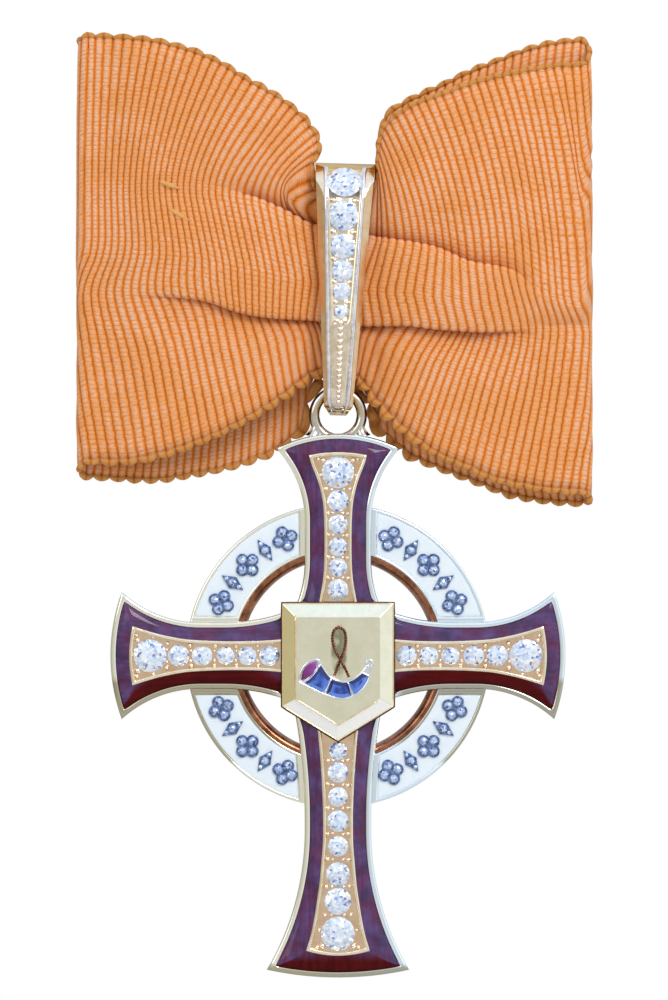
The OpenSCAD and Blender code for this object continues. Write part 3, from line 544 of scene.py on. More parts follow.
def silk_finish(name, top, side, groove, thread_colour, deep, folds=False):
    made, tree, sockets = material(
        name, Roughness=0.75, Sheen_Weight=0.12, Sheen_Roughness=0.4, Specular_IOR_Level=0.25
    )
    woven = use(tree, weave)
    # Painted light and real wear: the top is paler, more so where the silk is faded
    worn_and_lit_top = times(woven["Top"], fade(woven["Faded"], 0.0, 1.0, 0.35, 1.0))
    tone = blend(worn_and_lit_top, srgb(*side), srgb(*top))
    tone = blend(times(woven["Thread"], 0.95), tone, srgb(*thread_colour))
    # Painted shade in the groove
    groove_shade_tones = [tuple(c * strength for c in srgb(*groove)) for strength in (0.82, 1.2)]
    tone = blend(woven["Groove"], tone, blend(woven["Faded"], *groove_shade_tones))
    if folds:
        # Painted shade beside the folds, read from the map of the folds' shade
        depth = split(node(tree, "ShaderNodeUVMap", uv_map="folds").outputs[0])[0]
        tone = blend(depth, tone, FOLD_SHADE, blend_type="MULTIPLY")
    feed(sockets["Base Color"], tone)
    relief(sockets, woven["Height"], deep)
    return made


silk = silk_finish("silk", (240, 192, 160), (236, 156, 80), (202, 106, 34), (230, 136, 46), 0.045, True)
edge_silk = silk_finish("edge_silk", (216, 158, 92), (208, 140, 66), (176, 106, 44), (206, 130, 52), 0.05)
loose_silk, tree, sockets = material("loose_silk", Roughness=0.8)
feed(sockets["Base Color"], blend(noise(in_mm(tree), 3.0, 3.0), srgb(214, 152, 82), srgb(240, 184, 112)))
floor_paint, tree, sockets = material("floor_paint", Roughness=0.9)
feed(sockets["Base Color"], blend(noise(in_mm(tree), 0.05), (0.72, 0.72, 0.72), (0.78, 0.78, 0.77)))
floor.data.materials.append(floor_paint)
print("materials:", len(bpy.data.materials))

# %% [markdown]
# ## The solids that stay
# Plates, walls, enamel and stones already have their true outlines in the CAD model. What they lack is the
# softness of handwork: no real edge is perfectly sharp, and a rounded edge is what catches the light. A
# weld and a limited dissolve turn the CAD triangles into clean faces, and a narrow bevel with smoothed
# normals rounds the edges.

# %% Give a solid its finish and soften its edges
WELD_GAP = 0.002
FLAT_ANGLE = 0.6


def dress(name, finish, width=0.0, angle=32):
    obj = nodes[name]
    obj.data.materials.clear()
    obj.data.materials.append(finish)
    obj.modifiers.new("weld", "WELD").merge_threshold = WELD_GAP * MM
    flat = obj.modifiers.new("flat", "DECIMATE")
    flat.decimate_type = "DISSOLVE"
    flat.angle_limit = math.radians(FLAT_ANGLE)
    if width:
        soft = obj.modifiers.new("soft", "BEVEL")
        soft.width = width * MM
        soft.segments = 2
        soft.limit_method = "ANGLE"
        soft.angle_limit = math.radians(angle)
        soft.harden_normals = True


dress("cross", frame_gold, 0.07)
dress("bail", bail_gold, 0.06)
dress("pin", pin_gold, 0.12)
dress("shield", shield_gold, 0.07, 15)
dress("horn", bright_silver, 0.05)
dress("horn_loop", copper_gold, 0.05)
dress("horn_ruby", ruby, 0.03)
for k in range(1, 4):
    dress(f"horn_sapphire_{k}", sapphire, 0.03)
for k in range(1, 5):
    dress(f"ring_enamel_{k}", white_enamel, 0.05)
    dress(f"ring_mounts_{k}", old_silver, 0.06)
    dress(f"ring_stones_{k}", rose_cut)
for side in ("top", "right", "bottom", "left"):
    dress(f"enamel_{side}", dark_enamel, 0.05)
for name in nodes:
    if name.startswith(("stone_", "bail_stone")):
        dress(name, diamond)
print("solids kept:", len(nodes))


# %% A piece from points and faces
def piece(name, points, faces, finish, body, slot, stands_for=()):
    """Makes a smooth mesh from points in mm, and says what it rides on and stands for."""
    mesh = bpy.data.meshes.new(name)
    mesh.from_pydata([tuple(c * MM for c in p) for p in points], [], faces)
    mesh.materials.append(finish)
    made = bpy.data.objects.new(name, mesh)
    scene.collection.objects.link(made)
    mesh.shade_smooth()
    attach(made, body)
    if stands_for:
        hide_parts(*stands_for)
    return made


def unit(vectors):
    """The same directions with a length of 1."""
    return vectors / np.maximum(np.linalg.norm(vectors, axis=-1, keepdims=True), 1e-9)


def steps(count, closed):
    """Each place in a row with the next one."""
    return [(k, (k + 1) % count) for k in range(count if closed else count - 1)]


def net_faces(rows, columns, rows_close=True, columns_close=True):
    """Faces of a net of points that are numbered row by row."""
    return [
        (r * columns + c, s * columns + c, s * columns + d, r * columns + d)
        for r, s in steps(rows, rows_close) for c, d in steps(columns, columns_close)
    ]


def net_values(row_start, row_end, column_start, column_end):
    """At the corners of each face of a net: the value that goes by row and the one that goes by column."""
    by_row = np.stack([row_start, row_end, row_end, row_start], -1)[:, None]
    by_column = np.stack([column_start, column_start, column_end, column_end], -1)[None]
    return np.broadcast_arrays(by_row, by_column)


def add_map(made, name, u, v):
    layer = made.data.uv_layers.new(name=name)
    layer.data.foreach_set("uv", np.stack([u, v], -1).astype(np.float32).ravel())


# %% [markdown]
# ## The bow
# The bow is one closed loop of corded silk. It passes through the bail, spreads into two wings, and turns
# back behind them at the left and right ends. Two long pleats run across the front, so that the middle band
# stands forward and tucks under itself at both sides. Where the cords run shows how the cloth was pleated,
# so the wings are built along the cords: each of the 134 cords has a place on the top edge, on both pleats
# and on the bottom edge.
#
# The tables below are a plan on squared paper with nine squares to the millimetre, its origin at the top
# left. They are the knots of smooth curves, and every cord between them follows.

# %% Smooth curves through the plan's knots
CORDS = 134
MIRROR = 70
SQUARES = 9
PLAN_X, PLAN_Z = 338, 250
# The middle of the bail across the bow, in mm
BAIL_X = 0.8


def plan_x(squares):
    return (np.asarray(squares, float) - PLAN_X) / SQUARES


def plan_z(squares):
    return (PLAN_Z - np.asarray(squares, float)) / SQUARES


def smooth_curve(knots, values):
    """A curve through its knots that never overshoots them (a monotone cubic), as a function."""
    t = np.asarray(knots, float)
    y = np.asarray(values, float)
    gap = np.diff(t)
    slope = np.diff(y) / gap
    at = np.zeros_like(y)
    at[0], at[-1] = slope[0], slope[-1]
    level = slope[:-1] * slope[1:] > 0
    weight_a = 2 * gap[1:] + gap[:-1]
    weight_b = gap[1:] + 2 * gap[:-1]
    safe_a = np.where(level, slope[:-1], 1)
    safe_b = np.where(level, slope[1:], 1)
    at[1:-1] = np.where(level, (weight_a + weight_b) / (weight_a / safe_a + weight_b / safe_b), 0)

    def curve(where):
        where = np.clip(where, t[0], t[-1])
        k = np.clip(np.searchsorted(t, where) - 1, 0, len(gap) - 1)
        h = gap[k]
        u = (where - t[k]) / h
        return (
            y[k] * (1 + 2 * u) * (1 - u) ** 2
            + y[k + 1] * u * u * (3 - 2 * u)
            + h * at[k] * u * (1 - u) ** 2
            + h * at[k + 1] * u * u * (u - 1)
        )

    return curve


def both_ends(left, right):
    """Knots from the left end of the cloth and from its right end, where cords are counted backwards."""
    return sorted(left + [(MIRROR - cord, *place) for cord, *place in right])


def cords_to_x(left, right):
    """Places of the cords along a line, from pairs of cord and square."""
    cord, square = zip(*both_ends(left, right))
    return smooth_curve(cord, plan_x(square))


def line_height(*squares):
    """The height of a line of the plan as a function of x."""
    x, z = zip(*squares)
    return smooth_curve(plan_x(x), plan_z(z))


def edge_curves(knots):
    """The x and the height of an edge as functions of the cord."""
    cord, x, z = zip(*knots)
    return smooth_curve(cord, plan_x(x)), smooth_curve(cord, plan_z(z))


# %% The top edge, the two pleats and the bottom edge of the front
TOP_LEFT = [
    (-1.1, 78, 36), (1.1, 89, 36.5), (6.9, 142, 40), (11.1, 179, 48), (15.45, 216, 62), (19.45, 247, 81),
    (22.45, 271, 94), (24.98, 290, 107), (27.93, 309, 126), (29.2, 315, 136), (30.5, 318, 146),
    (31.4, 314, 157), (32.4, 310.5, 168), (33.4, 311.5, 186), (35, 332, 193),
]
TOP_RIGHT = [
    (-1.1, 590, 66), (1.1, 580, 65.5), (3, 562, 66), (5.7, 539, 69.5), (9.5, 506.6, 76), (13.7, 471.3, 85),
    (16.8, 444.2, 95), (20.1, 417, 104.5), (22.6, 399, 115), (24.9, 385.6, 128), (26.5, 381.5, 140),
    (28.8, 379.5, 160), (31, 379, 180), (32.4, 371, 192), (33.5, 358, 193),
]
top_x, top_z = edge_curves(both_ends(TOP_LEFT, TOP_RIGHT))
upper_x = cords_to_x(
    [(0, 78), (34.3, 315)],
    [(4.2, 589), (5.7, 573), (9.5, 545), (13.7, 510), (16.8, 485.6), (20.1, 458.5), (22.6, 439.7),
     (24.9, 421.8), (26.9, 405.9), (28, 396.8), (29, 388.6), (30, 381.8), (31, 376.5)],
)
upper_z = line_height(
    (60, 190), (120, 190), (170, 188), (210, 190), (247, 196), (280, 209), (315, 226), (371, 237),
    (432, 247.5), (473, 263), (501, 267), (515, 272), (532, 288), (556, 300), (600, 306),
)
middle_x = cords_to_x([(0, 78), (33.5, 315)], [(29.9, 369), (14, 516.7), (5.2, 589.5)])
lower_x = cords_to_x(
    [(2.5, 78), (6.05, 103.7), (9.8, 134.3), (15.8, 182.5), (19.5, 214.7), (25, 252.4), (30.5, 289.4),
     (34.2, 315.9)],
    [(29.9, 374), (14, 520.7), (5.4, 590)],
)
lower_z = line_height(
    (60, 291), (110, 294), (139, 295), (198, 300), (239, 312), (271, 317), (321, 320), (363, 325),
    (402.6, 324.7), (434, 328), (473, 331), (495.6, 331.8), (600, 330),
)
tucked_x = cords_to_x(
    [(2.5, 78), (6.05, 106.1), (10.9, 150.3), (17, 211.4), (24, 274.1), (28, 309.5), (31, 322.4)],
    [(33, 366), (27.4, 429), (23.6, 458.8), (19.6, 483), (14.9, 518), (10, 550), (7.9, 567.5),
     (5.4, 589.5)],
)
hanging_x = cords_to_x(
    [(1.6, 78), (6.05, 121.1), (10.9, 166.4), (17, 219.5), (24, 285.4), (28, 317.5)],
    [(32.6, 362), (27.4, 410.5), (23.6, 437.7), (19.6, 466.7), (14.9, 503.5), (10.3, 541), (7.95, 559.6),
     (4.9, 589.5)],
)
BOTTOM_LEFT = [
    (78, 460), (126, 460), (158, 454), (190, 444), (223, 430), (255, 412), (279, 396), (303, 377),
    (314, 370), (322, 367),
]
BOTTOM_RIGHT = [
    (358, 376), (376, 396), (392, 414), (406, 428), (420, 440), (434, 451), (453.5, 460), (471, 467),
    (488.6, 475.6), (508, 481), (525.4, 484.4), (546.5, 488), (571, 489.6), (589.5, 491.4),
]


def stepped_along(line, first, squares_per_cord):
    """Numbers the cords along a line at an even step, as knots of cord, x and z."""
    run = [0] + list(np.cumsum(np.hypot(*np.diff(np.array(line, float), axis=0).T)))
    return [(first + r / squares_per_cord, x, z) for r, (x, z) in zip(run, line)]


bottom_x, bottom_z = edge_curves(
    stepped_along(BOTTOM_LEFT, -0.3, 9.6) + stepped_along(BOTTOM_RIGHT, MIRROR - 32.1, 9.2)
)

# %% The back of the loop, the depths and how far the pleats are folded
back_top_z = line_height(
    (60, 46), (150, 52), (200, 66), (250, 95), (290, 125), (306, 148), (309.5, 160), (312, 193),
    (378, 193), (380.5, 150), (384, 121), (397.6, 107), (411, 99), (429, 91), (446, 83), (464, 74),
    (494, 62), (525, 50), (558, 42), (610, 37),
)
back_bottom_z = line_height(
    (60, 473), (152, 478), (190, 473), (223, 467), (255, 457), (279, 444), (299, 425), (309, 391),
    (312.4, 381), (320, 373), (356, 373), (362, 388), (378, 414), (381, 426), (392, 436), (412, 453),
    (445, 468), (477, 480), (511, 493), (553, 500), (610, 503),
)
front_depth = smooth_curve(
    [-29.9, -27.7, -21.8, -17.7, -13.6, -10.1, -7.4, -5.3, -3.2, -2.6,
     4.2, 4.8, 6, 7.6, 10.1, 13, 16.9, 20.8, 26.7, 29],
    [6.8, 6.9, 8.3, 8.8, 9, 8.9, 8.6, 8.1, 7.4, 7.15, 7.15, 7.5, 8.1, 8.6, 8.9, 9, 8.8, 8.4, 6.9, 6.8],
)
back_depth = smooth_curve(
    [-29.9, -20, -9, -6.6, -4.3, -3.2, -2.6, 4.2, 4.8, 8, 20, 29],
    [4.4, 4.3, 4.2, 4.2, 4.5, 4.8, 4.95, 4.95, 4.5, 4.2, 4.2, 4.4],
)
upper_fold = smooth_curve(plan_x([205, 238, 254, 300, 432, 500, 545]), [0, 0.25, 0.8, 1, 1, 0.5, 0])
lower_fold = smooth_curve(plan_x([130, 200, 260, 473, 504, 545]), [0, 0.6, 1, 1, 0.5, 0])

# %% [markdown]
# A pleat seen from its end is an S: the upper cloth runs down behind the fold, turns back up, rolls over
# the crest and comes down again in front. Eight rows of points draw that S. Where the pleat opens out
# towards the ends of the wings, the same rows lie flat, and a share between 0 and 1 goes from one to the
# other.

# %% The rows across the cloth
TUCK = [
    (-0.72, -1.05), (-0.84, -0.76), (-0.68, -0.42), (-0.35, -0.22), (-0.08, -0.10), (0.04, 0.10),
    (0.0, 0.34), (-0.16, 0.50),
]
FLAT_RUN = 0.6
HALF_CLOTH = 0.18
BAND_ROWS = (14, 12, 14)
WIDTH_SHARES = (0.37, 0.40, 0.62, 0.65)
# Shares of a band's height where the cords bend, how far a fold's cloth dives, and how far a pleat
# overhangs
MIDDLE_BEND, HANGING_BEND = 0.62, 0.35
DIVE = 1.1
OVERHANG = 0.38
# Over what height the bends are rounded, and the least height that a row stands for, in mm
EASE_REACH, LEAST_ROOM = 1.9, 0.02


def mix(a, b, t):
    return a + (b - a) * t


def opened(fold, tucked, k):
    """A row of a pleat: its place in the S, or in a flat run of rows, by how far the pleat is folded."""
    return mix(mix(FLAT_RUN, -FLAT_RUN, (k + 1) / (len(TUCK) + 1)), tucked, fold)


def bent(f, bend, a, b, c):
    """Cords that go from a to b over the first share of a band and on to c over the rest."""
    return mix(a, b, f / bend) if f < bend else mix(b, c, (f - bend) / (1 - bend))


def eased(x, z, kept):
    """Rounds the bends of the cords where the cloth lies flat, by a moving average over their height."""
    room = np.maximum(np.abs(np.gradient(z, axis=0)), LEAST_ROOM)
    result = np.empty_like(x)
    for r in range(len(x)):
        share = np.exp(-((z - z[r]) / EASE_REACH) ** 2) * room
        result[r] = (share * x).sum(0) / share.sum(0)
    return mix(result, x, kept)


def shade_near(distance, reach):
    """The shade beside a fold, which fades with the distance from it."""
    return np.clip(1 - distance / reach, 0, 1) ** 1.5


def front_rows(cord):
    """All rows of the front at the given cords: x, height, step forward, share of the width and shade."""
    rows = []
    top_at, upper_at, middle_at, lower_at, tucked_at, hanging_at, bottom_at = (
        curve(cord) for curve in (top_x, upper_x, middle_x, lower_x, tucked_x, hanging_x, bottom_x)
    )
    top_height, bottom_height = top_z(cord), bottom_z(cord)
    # How strongly the cords of the top band curl on each wing, and how far they bulge beside the bail
    curl = np.where(cord > MIRROR / 2, 1.6, 1.35)
    bulge = np.interp(cord, [24, 30, 33.5, 35, 36], [0, 1.3, 2.3, 2.3, 0])
    for f in np.linspace(0, 1, BAND_ROWS[0]):
        x = mix(top_at, upper_at, 1 - (1 - f) ** curl) - bulge * math.sin(math.pi * f ** 0.8)
        fold = upper_fold(x)
        end = upper_z(x) + mix(FLAT_RUN, -0.5, fold)
        lie = np.interp(f, [0, 0.1, 0.45, 0.8], [-0.25, -0.1, 0.03, 0.05])
        step = lie - DIVE * fold * np.interp(f, [0.55, 1], [0, 1]) ** 1.3
        z = mix(top_height, end, f)
        shade = fold * shade_near(z - end, 2.4)
        rows.append((x, z, step, mix(0, WIDTH_SHARES[0], f), shade))
    fold = upper_fold(upper_at)
    for k, (rise, step) in enumerate(TUCK):
        share = (k + 1) / (len(TUCK) + 1)
        z = upper_z(upper_at) + opened(fold, rise, k)
        shade = fold * (1 - share) ** 2
        rows.append((upper_at, z, mix(0.05, step, fold), mix(*WIDTH_SHARES[:2], share), shade))
    for f in np.linspace(0, 1, BAND_ROWS[1]):
        x = bent(f, MIDDLE_BEND, upper_at, middle_at, lower_at)
        start = upper_z(x) - mix(FLAT_RUN, OVERHANG, upper_fold(x))
        end = lower_z(x) + mix(FLAT_RUN, OVERHANG, lower_fold(x))
        crests = 0.55 * upper_fold(x) * (1 - f) ** 0.6 + 0.55 * lower_fold(x) * f ** 0.6
        step = crests + 0.1 * math.sin(math.pi * f) + 0.05
        rows.append((x, mix(start, end, f), step, mix(*WIDTH_SHARES[1:3], f), 0 * x))
    for k, (rise, step) in enumerate(reversed(TUCK)):
        share = (k + 1) / (len(TUCK) + 1)
        x = mix(lower_at, tucked_at, np.clip((k - 2) / 4, 0, 1))
        fold = lower_fold(x)
        z = lower_z(x) + opened(fold, -rise, k)
        rows.append((x, z, mix(0.05, step, fold), mix(*WIDTH_SHARES[2:], share), fold * share ** 2))
    for f in np.linspace(0, 1, BAND_ROWS[2]):
        x = bent(f, HANGING_BEND, tucked_at, hanging_at, bottom_at)
        start = lower_z(x) + mix(-FLAT_RUN, 0.5, lower_fold(x))
        lie = np.interp(f, [0, 0.35, 0.7, 0.92, 1], [0.05, 0.02, 0.12, 0, -0.2])
        step = lie - DIVE * lower_fold(x) * np.interp(f, [0, 0.4], [1, 0]) ** 1.3
        z = mix(start, bottom_height, f)
        shade = 0.6 * lower_fold(x) * shade_near(start - z, 3.0)
        rows.append((x, z, step, mix(WIDTH_SHARES[3], 1, f), shade))
    x, z, step, width, shade = (
        np.array([np.broadcast_to(row[i], cord.shape) for row in rows], float) for i in range(5)
    )
    to_edge = np.minimum(np.abs(z - z[0]), np.abs(z - z[-1]))
    kept = np.maximum(np.maximum(upper_fold(x), lower_fold(x)), np.exp(-(to_edge / 1.2) ** 2))
    return eased(x, z, kept), z, step, width, shade


# %% Go round the loop, row by row
TURN_X = plan_x(89), plan_x(580)
TURN_CORDS = 4.4
# How deep the back layer waves, and how near to the middle of the bail it lies flat
WAVE, FLAT_NEAR = 0.28, 4.2
# For each column of a cord: its place in the cord, and how far its surface dips into the groove
PER_CORD = [(0.0, -0.15), (0.10, -0.10), (0.26, -0.02), (0.50, 0.02), (0.74, -0.02), (0.90, -0.10)]
FRONT_CORDS = -3, 73
column_cord = np.array([c + share for c in range(CORDS) for share, _ in PER_CORD])
column_dip = np.array([dip for _, dip in PER_CORD] * CORDS)

# Each row is read at finely spaced cords, and its left and its right part tell where the cloth turns back
PROBES = 3041
LEFT_PART, RIGHT_PART = slice(0, 1400), slice(1700, PROBES)
probe = np.linspace(*FRONT_CORDS, PROBES)
probe_x = front_rows(probe)[0]
row_count = len(probe_x)
first_turn, last_turn = (
    np.array([np.interp(at_x, row[part], probe[part]) for row in probe_x])
    for at_x, part in zip(TURN_X, (LEFT_PART, RIGHT_PART))
)
print("rows:", row_count, "first cords:", first_turn.min().round(1), first_turn.max().round(1))


def loop_point(row, cord, x_front, z_front, step, share):
    """The middle of the cloth at one row for all columns, once round the loop."""
    start, stop = first_turn[row], last_turn[row]
    around = (cord - start) % CORDS
    span = stop - start
    back_span = CORDS - span - 2 * TURN_CORDS
    back_x = mix(TURN_X[1], TURN_X[0], np.clip((around - span - TURN_CORDS) / back_span, 0, 1))
    beside_bail = np.clip((np.abs(back_x - BAIL_X) - FLAT_NEAR) / 3, 0, 1)
    wave = WAVE * np.sin(share * 4.2 * math.pi + back_x * 0.14) * beside_bail
    front_y = -front_depth(x_front) - step
    x = np.where(around <= span, x_front, back_x)
    y = np.where(around <= span, front_y, wave - back_depth(back_x))
    z = np.where(around <= span, z_front, mix(back_top_z(back_x), back_bottom_z(back_x), share))
    for side, at_x, begins, at_cord in (
        (1, TURN_X[1], span, stop), (-1, TURN_X[0], CORDS - TURN_CORDS, start)
    ):
        turning = (around > begins) & (around < begins + TURN_CORDS)
        turn = np.clip((around - begins) / TURN_CORDS, 0, 1)
        turn = turn if side > 0 else 1 - turn
        edge = np.argmin(np.abs(cord - at_cord))
        near_y, near_z = front_y[edge], z_front[edge]
        far_y = -back_depth(at_x)
        far_z = mix(back_top_z(at_x), back_bottom_z(at_x), share)
        radius = (far_y - near_y) / 2
        x = np.where(turning, at_x + side * radius * np.sin(math.pi * turn), x)
        y = np.where(turning, (near_y + far_y) / 2 - radius * np.cos(math.pi * turn), y)
        z = np.where(turning, mix(near_z, far_z, (1 - np.cos(math.pi * turn)) / 2), z)
    return np.stack([x, y, z], 1)


order = (column_cord + 3) % CORDS - 3
front_x, front_z, front_step, front_share, front_shade = front_rows(np.clip(order, *FRONT_CORDS))
front = zip(front_x, front_z, front_step, front_share[:, 0])
cloth = np.array([loop_point(row, column_cord, *values) for row, values in enumerate(front)])
along_way = np.roll(cloth, -1, 1) - np.roll(cloth, 1, 1)
normal = unit(np.cross(np.gradient(cloth, axis=0), along_way))
print("cloth box in mm:", cloth.min((0, 1)).round(1), cloth.max((0, 1)).round(1))

# %% Make the ribbon's mesh, with a map of cords and millimetres and a map of the folds' shade
RIBBON_WIDTH = 48.0
thickness = normal * (HALF_CLOTH + column_dip)[None, :, None]
points = np.concatenate([(cloth + thickness).reshape(-1, 3), (cloth - thickness)[::-1].reshape(-1, 3)])
columns = cloth.shape[1]
faces = net_faces(2 * row_count, columns)
ribbon = piece("silk_ribbon", points, faces, silk, "bow", "silk", ["ribbon"])

across_mm = np.concatenate([front_share[:, 0], front_share[::-1, 0]]) * RIBBON_WIDTH
column_chart = np.append(column_cord, CORDS)
v, u = net_values(across_mm, np.roll(across_mm, -1), column_chart[:-1], column_chart[1:])
add_map(ribbon, "weave", u, v)
on_front = (column_cord[None, :] - first_turn[:, None]) % CORDS <= (last_turn - first_turn)[:, None]
fold_shade = np.concatenate([np.where(on_front, front_shade, 0.0), np.zeros((row_count, columns))])
below = np.roll(fold_shade, -1, 0)
shades = np.stack([fold_shade, below, np.roll(below, -1, 1), np.roll(fold_shade, -1, 1)], 2)
add_map(ribbon, "folds", shades, shades)
print("ribbon triangles:", 2 * len(faces))

# %% [markdown]
# Both edges of the ribbon are finished with picots, small knotted loops of the weft, one to every two
# cords. They are what makes the edge look beaded. A thick thread follows each edge and swells outward at
# every knot. Behind, by the top arm, it leans back so that the swinging cross clears it.

# %% The knotted edges
PICOT_SIDES = 8
PICOT_STEPS = 12
THREAD_R = 0.2
# How far a knot stands out and how much it thickens the thread, then where the knots crowd by the bail
KNOT_OUT, KNOT_THICK = 0.24, 0.16
CROWDED_AT, CROWDED_REACH = 3.4, 4.2
ARM_TOP, ARM_SIDE, ARM_BACK = -18, 9.2, -4.4
CLOTH_BACK = -5.3


def cloth_line(row, where):
    """A row of the cloth, read at places that count the cords."""
    looped = np.append(cloth[row], cloth[row][:1], 0)
    return np.stack([np.interp(where, column_chart, looped[:, i]) for i in range(3)], 1)


def picot_edge(name, row, towards, thick, crowded):
    """A swelling thread along an edge row. towards is the next row, which the edge points away from."""
    where = np.arange(CORDS * PICOT_STEPS) / PICOT_STEPS
    line = cloth_line(row, where)
    way = unit(np.roll(line, -1, 0) - np.roll(line, 1, 0))
    out = unit(np.cross(unit(line - cloth_line(towards, where)), way))
    away = np.cross(way, out)
    swell = np.abs(np.sin(math.pi * where / 2)) ** 0.7
    hand = random.Random(row)
    each = [hand.uniform(0.78, 1.16) for _ in range(CORDS // 2 + 1)]
    bunched = thick * np.interp(where, np.arange(CORDS // 2 + 1) * 2 + 1, each)
    by_bail = np.exp(-((np.abs(line[:, 0] - BAIL_X) - CROWDED_AT) / CROWDED_REACH) ** 2)
    bunched = bunched * (1 + crowded * by_bail)
    centre = line + away * (bunched * (KNOT_OUT * swell))[:, None]
    radius = THREAD_R + bunched * KNOT_THICK * swell
    x, y, z = line.T
    by_arm = np.clip((ARM_TOP - z) / 1.2, 0, 1) * np.clip((ARM_SIDE - np.abs(x)) / 1.6, 0, 1)
    centre[:, 1] += by_arm * (y > CLOTH_BACK) * np.maximum(radius + ARM_BACK - centre[:, 1], 0)
    ring = []
    for k in range(PICOT_SIDES):
        angle = 2 * math.pi * k / PICOT_SIDES
        ring.append(centre + (away * math.cos(angle) + out * math.sin(angle)) * radius[:, None])
    points = np.array(ring).transpose(1, 0, 2).reshape(-1, 3)
    made = piece(name, points, net_faces(len(where), PICOT_SIDES), edge_silk, "bow", "silk")
    side = np.arange(PICOT_SIDES)
    add_map(made, "weave", *net_values(where, where + 1 / PICOT_STEPS, side / 3, (side + 1) / 3))
    return made


picots = [
    picot_edge("picots_top", 0, 1, 0.9, 0.2),
    picot_edge("picots_bottom", row_count - 1, row_count - 2, 1.25, 1.5),
]


# %% [markdown]
# ## The arms' rims, enamel and crests
# Each arm is framed three times: a polished outer rim, a border of translucent enamel that rises inward
# over carved gold, and a bright crest round the plate of stones. Each is a strip between two outlines that
# have the same number of points, so rows of points that change inset and height draw its section, and the
# corners become clean mitres.

# %% Outlines of an arm and of its plate
NECK = 3.6
BORDER_START = 5.3
SIDE_STEPS, END_STEPS = 44, 26
SIDE_ARM = {"reach": 25.2, "end_r": 20.6, "flare": (15.3, 13.1), "root": (12.6, 20)}
ARMS = {
    "top": {"turn": 90, "reach": 24.6, "end_r": 15.4, "flare": (15, 11.9), "root": (10.6, 13.7)},
    "right": {"turn": 0, **SIDE_ARM},
    "bottom": {"turn": 270, "reach": 35.7, "end_r": 36.7, "flare": (19.4, 30.9), "root": (18.3, 66)},
    "left": {"turn": 180, **SIDE_ARM},
}
# Distance along the arm and half-width of the plate with its crest. PLATES adds how far its end bulges.
SIDE_PLATE = [
    (5.3, 1.85), (6.7, 1.72), (9.1, 1.56), (11.6, 1.53), (14.1, 1.58), (16.6, 1.72), (19, 2.12),
    (21.5, 2.78), (22.75, 3.2),
]
TOP_PLATE = [
    (5.3, 2.15), (6.5, 1.93), (8.4, 1.61), (10.4, 1.46), (12.4, 1.43), (14.4, 1.44), (16.7, 1.56),
    (18.3, 1.84), (19.9, 2.32), (21.1, 2.8), (22.2, 3.15),
]
BOTTOM_PLATE = [
    (5.3, 2.55), (8, 2.2), (10, 2.0), (12, 1.85), (14, 1.72), (16, 1.63), (18, 1.58), (20.4, 1.59),
    (22.8, 1.76), (25.2, 1.97), (27.2, 2.25), (29.1, 2.55), (31.1, 2.96), (32.7, 3.45),
]
PLATES = {
    "top": (TOP_PLATE, 0.36), "right": (SIDE_PLATE, 0.37), "bottom": (BOTTOM_PLATE, 0.55),
    "left": (SIDE_PLATE, 0.37),
}


def polar(r, angles):
    return np.stack([r * np.cos(angles), r * np.sin(angles)], 1)


def there_and_back(side, end):
    """An outline: along one side, round the end, and back along the mirrored side."""
    return np.concatenate([side, end, side[::-1] * [1, -1]])


def arm_half_width(arm, x, inset=0.0):
    (flare_at, flare_r), (root_at, root_r) = arm["flare"], arm["root"]
    past_flare = np.maximum(x - flare_at, 0)
    before_root = np.minimum(x - root_at, 0)
    flared = flare_r - np.sqrt((flare_r + inset) ** 2 - past_flare ** 2)
    rooted = root_r - np.sqrt((root_r + inset) ** 2 - before_root ** 2)
    return NECK + np.where(x > flare_at, flared, np.where(x < root_at, rooted, -inset))


def arm_outline(arm, inset):
    """An arm's edge set in by an amount. Its corner is where the end's arc meets the flare's arc."""
    flare_at, flare_r = arm["flare"]
    centre = np.array([arm["reach"] - arm["end_r"], 0.0])
    r_end, r_flare = arm["end_r"] - inset, flare_r + inset
    gap = np.array([flare_at, NECK + flare_r]) - centre
    span = np.linalg.norm(gap)
    along = (r_end ** 2 - r_flare ** 2 + span ** 2) / (2 * span)
    off = math.sqrt(r_end ** 2 - along ** 2)
    corner = centre + along * gap / span + off * np.array([gap[1], -gap[0]]) / span
    x = np.linspace(BORDER_START, corner[0], SIDE_STEPS)
    side = np.stack([x, arm_half_width(arm, x, inset)], 1)
    side[-1] = corner
    turn = math.atan2(corner[1], corner[0] - centre[0])
    return there_and_back(side, centre + polar(r_end, np.linspace(turn, -turn, END_STEPS + 2)[1:-1]))


def plate_outline(name, inset):
    """The edge of the plate and its crest, set in by an amount."""
    table, bulge = PLATES[name]
    width = smooth_curve(*zip(*table))
    x = np.linspace(BORDER_START, table[-1][0] - inset, SIDE_STEPS)
    half_width = width(x) - inset * np.sqrt(1 + np.gradient(width(x), x) ** 2)
    y = np.linspace(half_width[-1], -half_width[-1], END_STEPS + 2)[1:-1]
    end = np.stack([x[-1] + bulge * (1 - (y / half_width[-1]) ** 2), y], 1)
    return there_and_back(np.stack([x, half_width], 1), end)


def turned(flat, degrees):
    cosine, sine = math.cos(math.radians(degrees)), math.sin(math.radians(degrees))
    x, y = flat.T
    return np.stack([x * cosine - y * sine, x * sine + y * cosine], 1)


def on_cross(flat, z, turn=0.0):
    """Points of the cross's plane, turned about its centre and raised, as points of the medal."""
    x, y = turned(flat, turn).T
    return np.stack([x, np.broadcast_to(CROSS_Y - z, x.shape), CROSS_Z + y], 1)


def strips(rows, closed=False):
    """Points and faces of a surface through rows with the same number of points."""
    faces = net_faces(len(rows), len(rows[0]), False, closed)
    return np.concatenate(rows), [(a, d, c, b) for a, b, c, d in faces]


